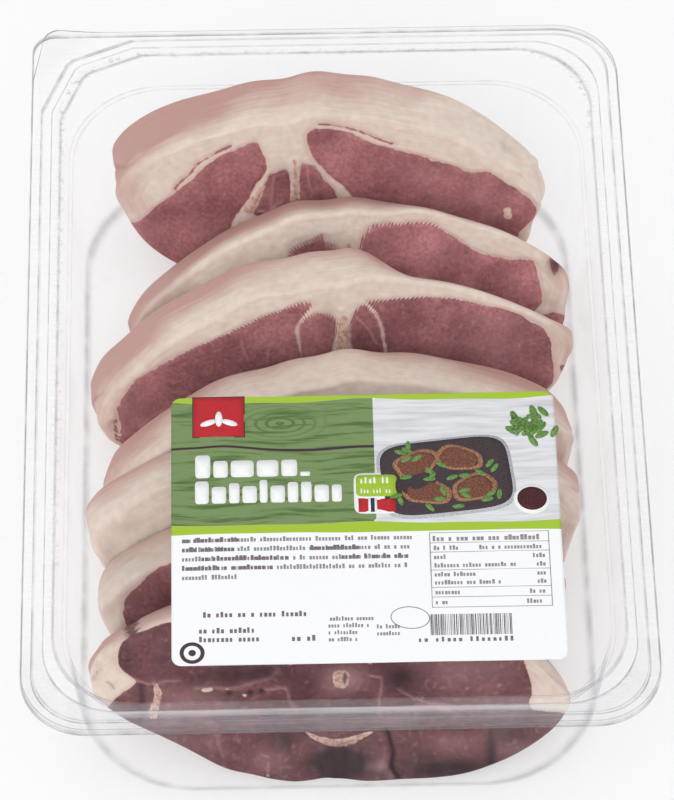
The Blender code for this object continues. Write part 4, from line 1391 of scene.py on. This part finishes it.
def place_camera():
    """The camera looks at the target from its distance, elevation and azimuth, and is rolled
    a little."""
    e, a, r = np.radians((VIEW_ELEVATION, VIEW_AZIMUTH, VIEW_ROLL))
    back = np.array([math.sin(a) * math.cos(e), -math.cos(a) * math.cos(e), math.sin(e)])
    right = np.cross(-back, (0, 0, 1))
    right /= np.linalg.norm(right)
    up = np.cross(back, right)
    across = math.cos(r) * right + math.sin(r) * up
    upward = -math.sin(r) * right + math.cos(r) * up
    camera = bpy.data.cameras.new("camera")
    camera.sensor_width = SENSOR
    camera.lens = FOCAL_PIXELS * SENSOR / PICTURE_HEIGHT
    camera.clip_end = 20
    place = (np.array(VIEW_TARGET) + back * VIEW_DISTANCE) * MM
    bpy.context.scene.camera = set_up("camera", camera, (across, upward, back), place)


def light_scene():
    """An even white studio and one square soft light, which looks at the pack's middle."""
    world = bpy.data.worlds.new("studio")
    world.use_nodes = True
    background = world.node_tree.nodes["Background"]
    background.inputs["Color"].default_value = (1.0, 1.0, 1.0, 1.0)
    background.inputs["Strength"].default_value = SKY_STRENGTH
    bpy.context.scene.world = world
    light = bpy.data.lights.new("soft_key", "AREA")
    light.size = KEY_SIZE
    light.energy = KEY_POWER
    z = np.array(KEY_PLACE) - (0, 0, 0.03)
    z /= np.linalg.norm(z)
    x = np.cross((0, 1, 0), z)
    x /= np.linalg.norm(x)
    set_up("soft_key", light, (x, np.cross(z, x), z), KEY_PLACE)
    view = bpy.context.scene.view_settings
    view.view_transform = "Standard"
    view.look = "None"
    bpy.context.scene.cycles.transparent_max_bounces = 32


# Matt studio paper, pale grey and lit a little from within, so that the shadows stay soft
def build_floor():
    """A plain pale floor, far wider than the view."""
    corners = [(x * FLOOR_REACH, y * FLOOR_REACH, -FLOOR_DROP) for x, y in
               ((-1, -1), (1, -1), (1, 1), (-1, 1))]
    floor = mesh_piece("floor", corners, [(0, 1, 2, 3)], smooth=False)
    made, tree = new_material("pale_floor")
    shader = {"Base Color": hex_colour("#BFBFC0"), "Roughness": 0.9, "Specular IOR Level": 0.0}
    shader |= {"Emission Color": (1, 1, 1, 1), "Emission Strength": 0.46}
    add(tree, "OutputMaterial", {"Surface": add(tree, "BsdfPrincipled", shader)})
    floor.data.materials.append(made)


def main():
    """Camera, light and floor, then the chops from back to front, and the packing."""
    place_camera()
    light_scene()
    build_floor()
    behind = None
    for number, (chop, cut) in enumerate(zip(CHOPS, CUTS), start=1):
        finish = raw_lamb(f"raw_lamb_sawn_{number}", cut.tone, cut.blotch)
        build_chop(number, chop, behind, cut, finish)
        behind = chop
    build_tray(tray_plastic())
    build_film(film_plastic())
    build_label(label_paper())
    build_print()


main()
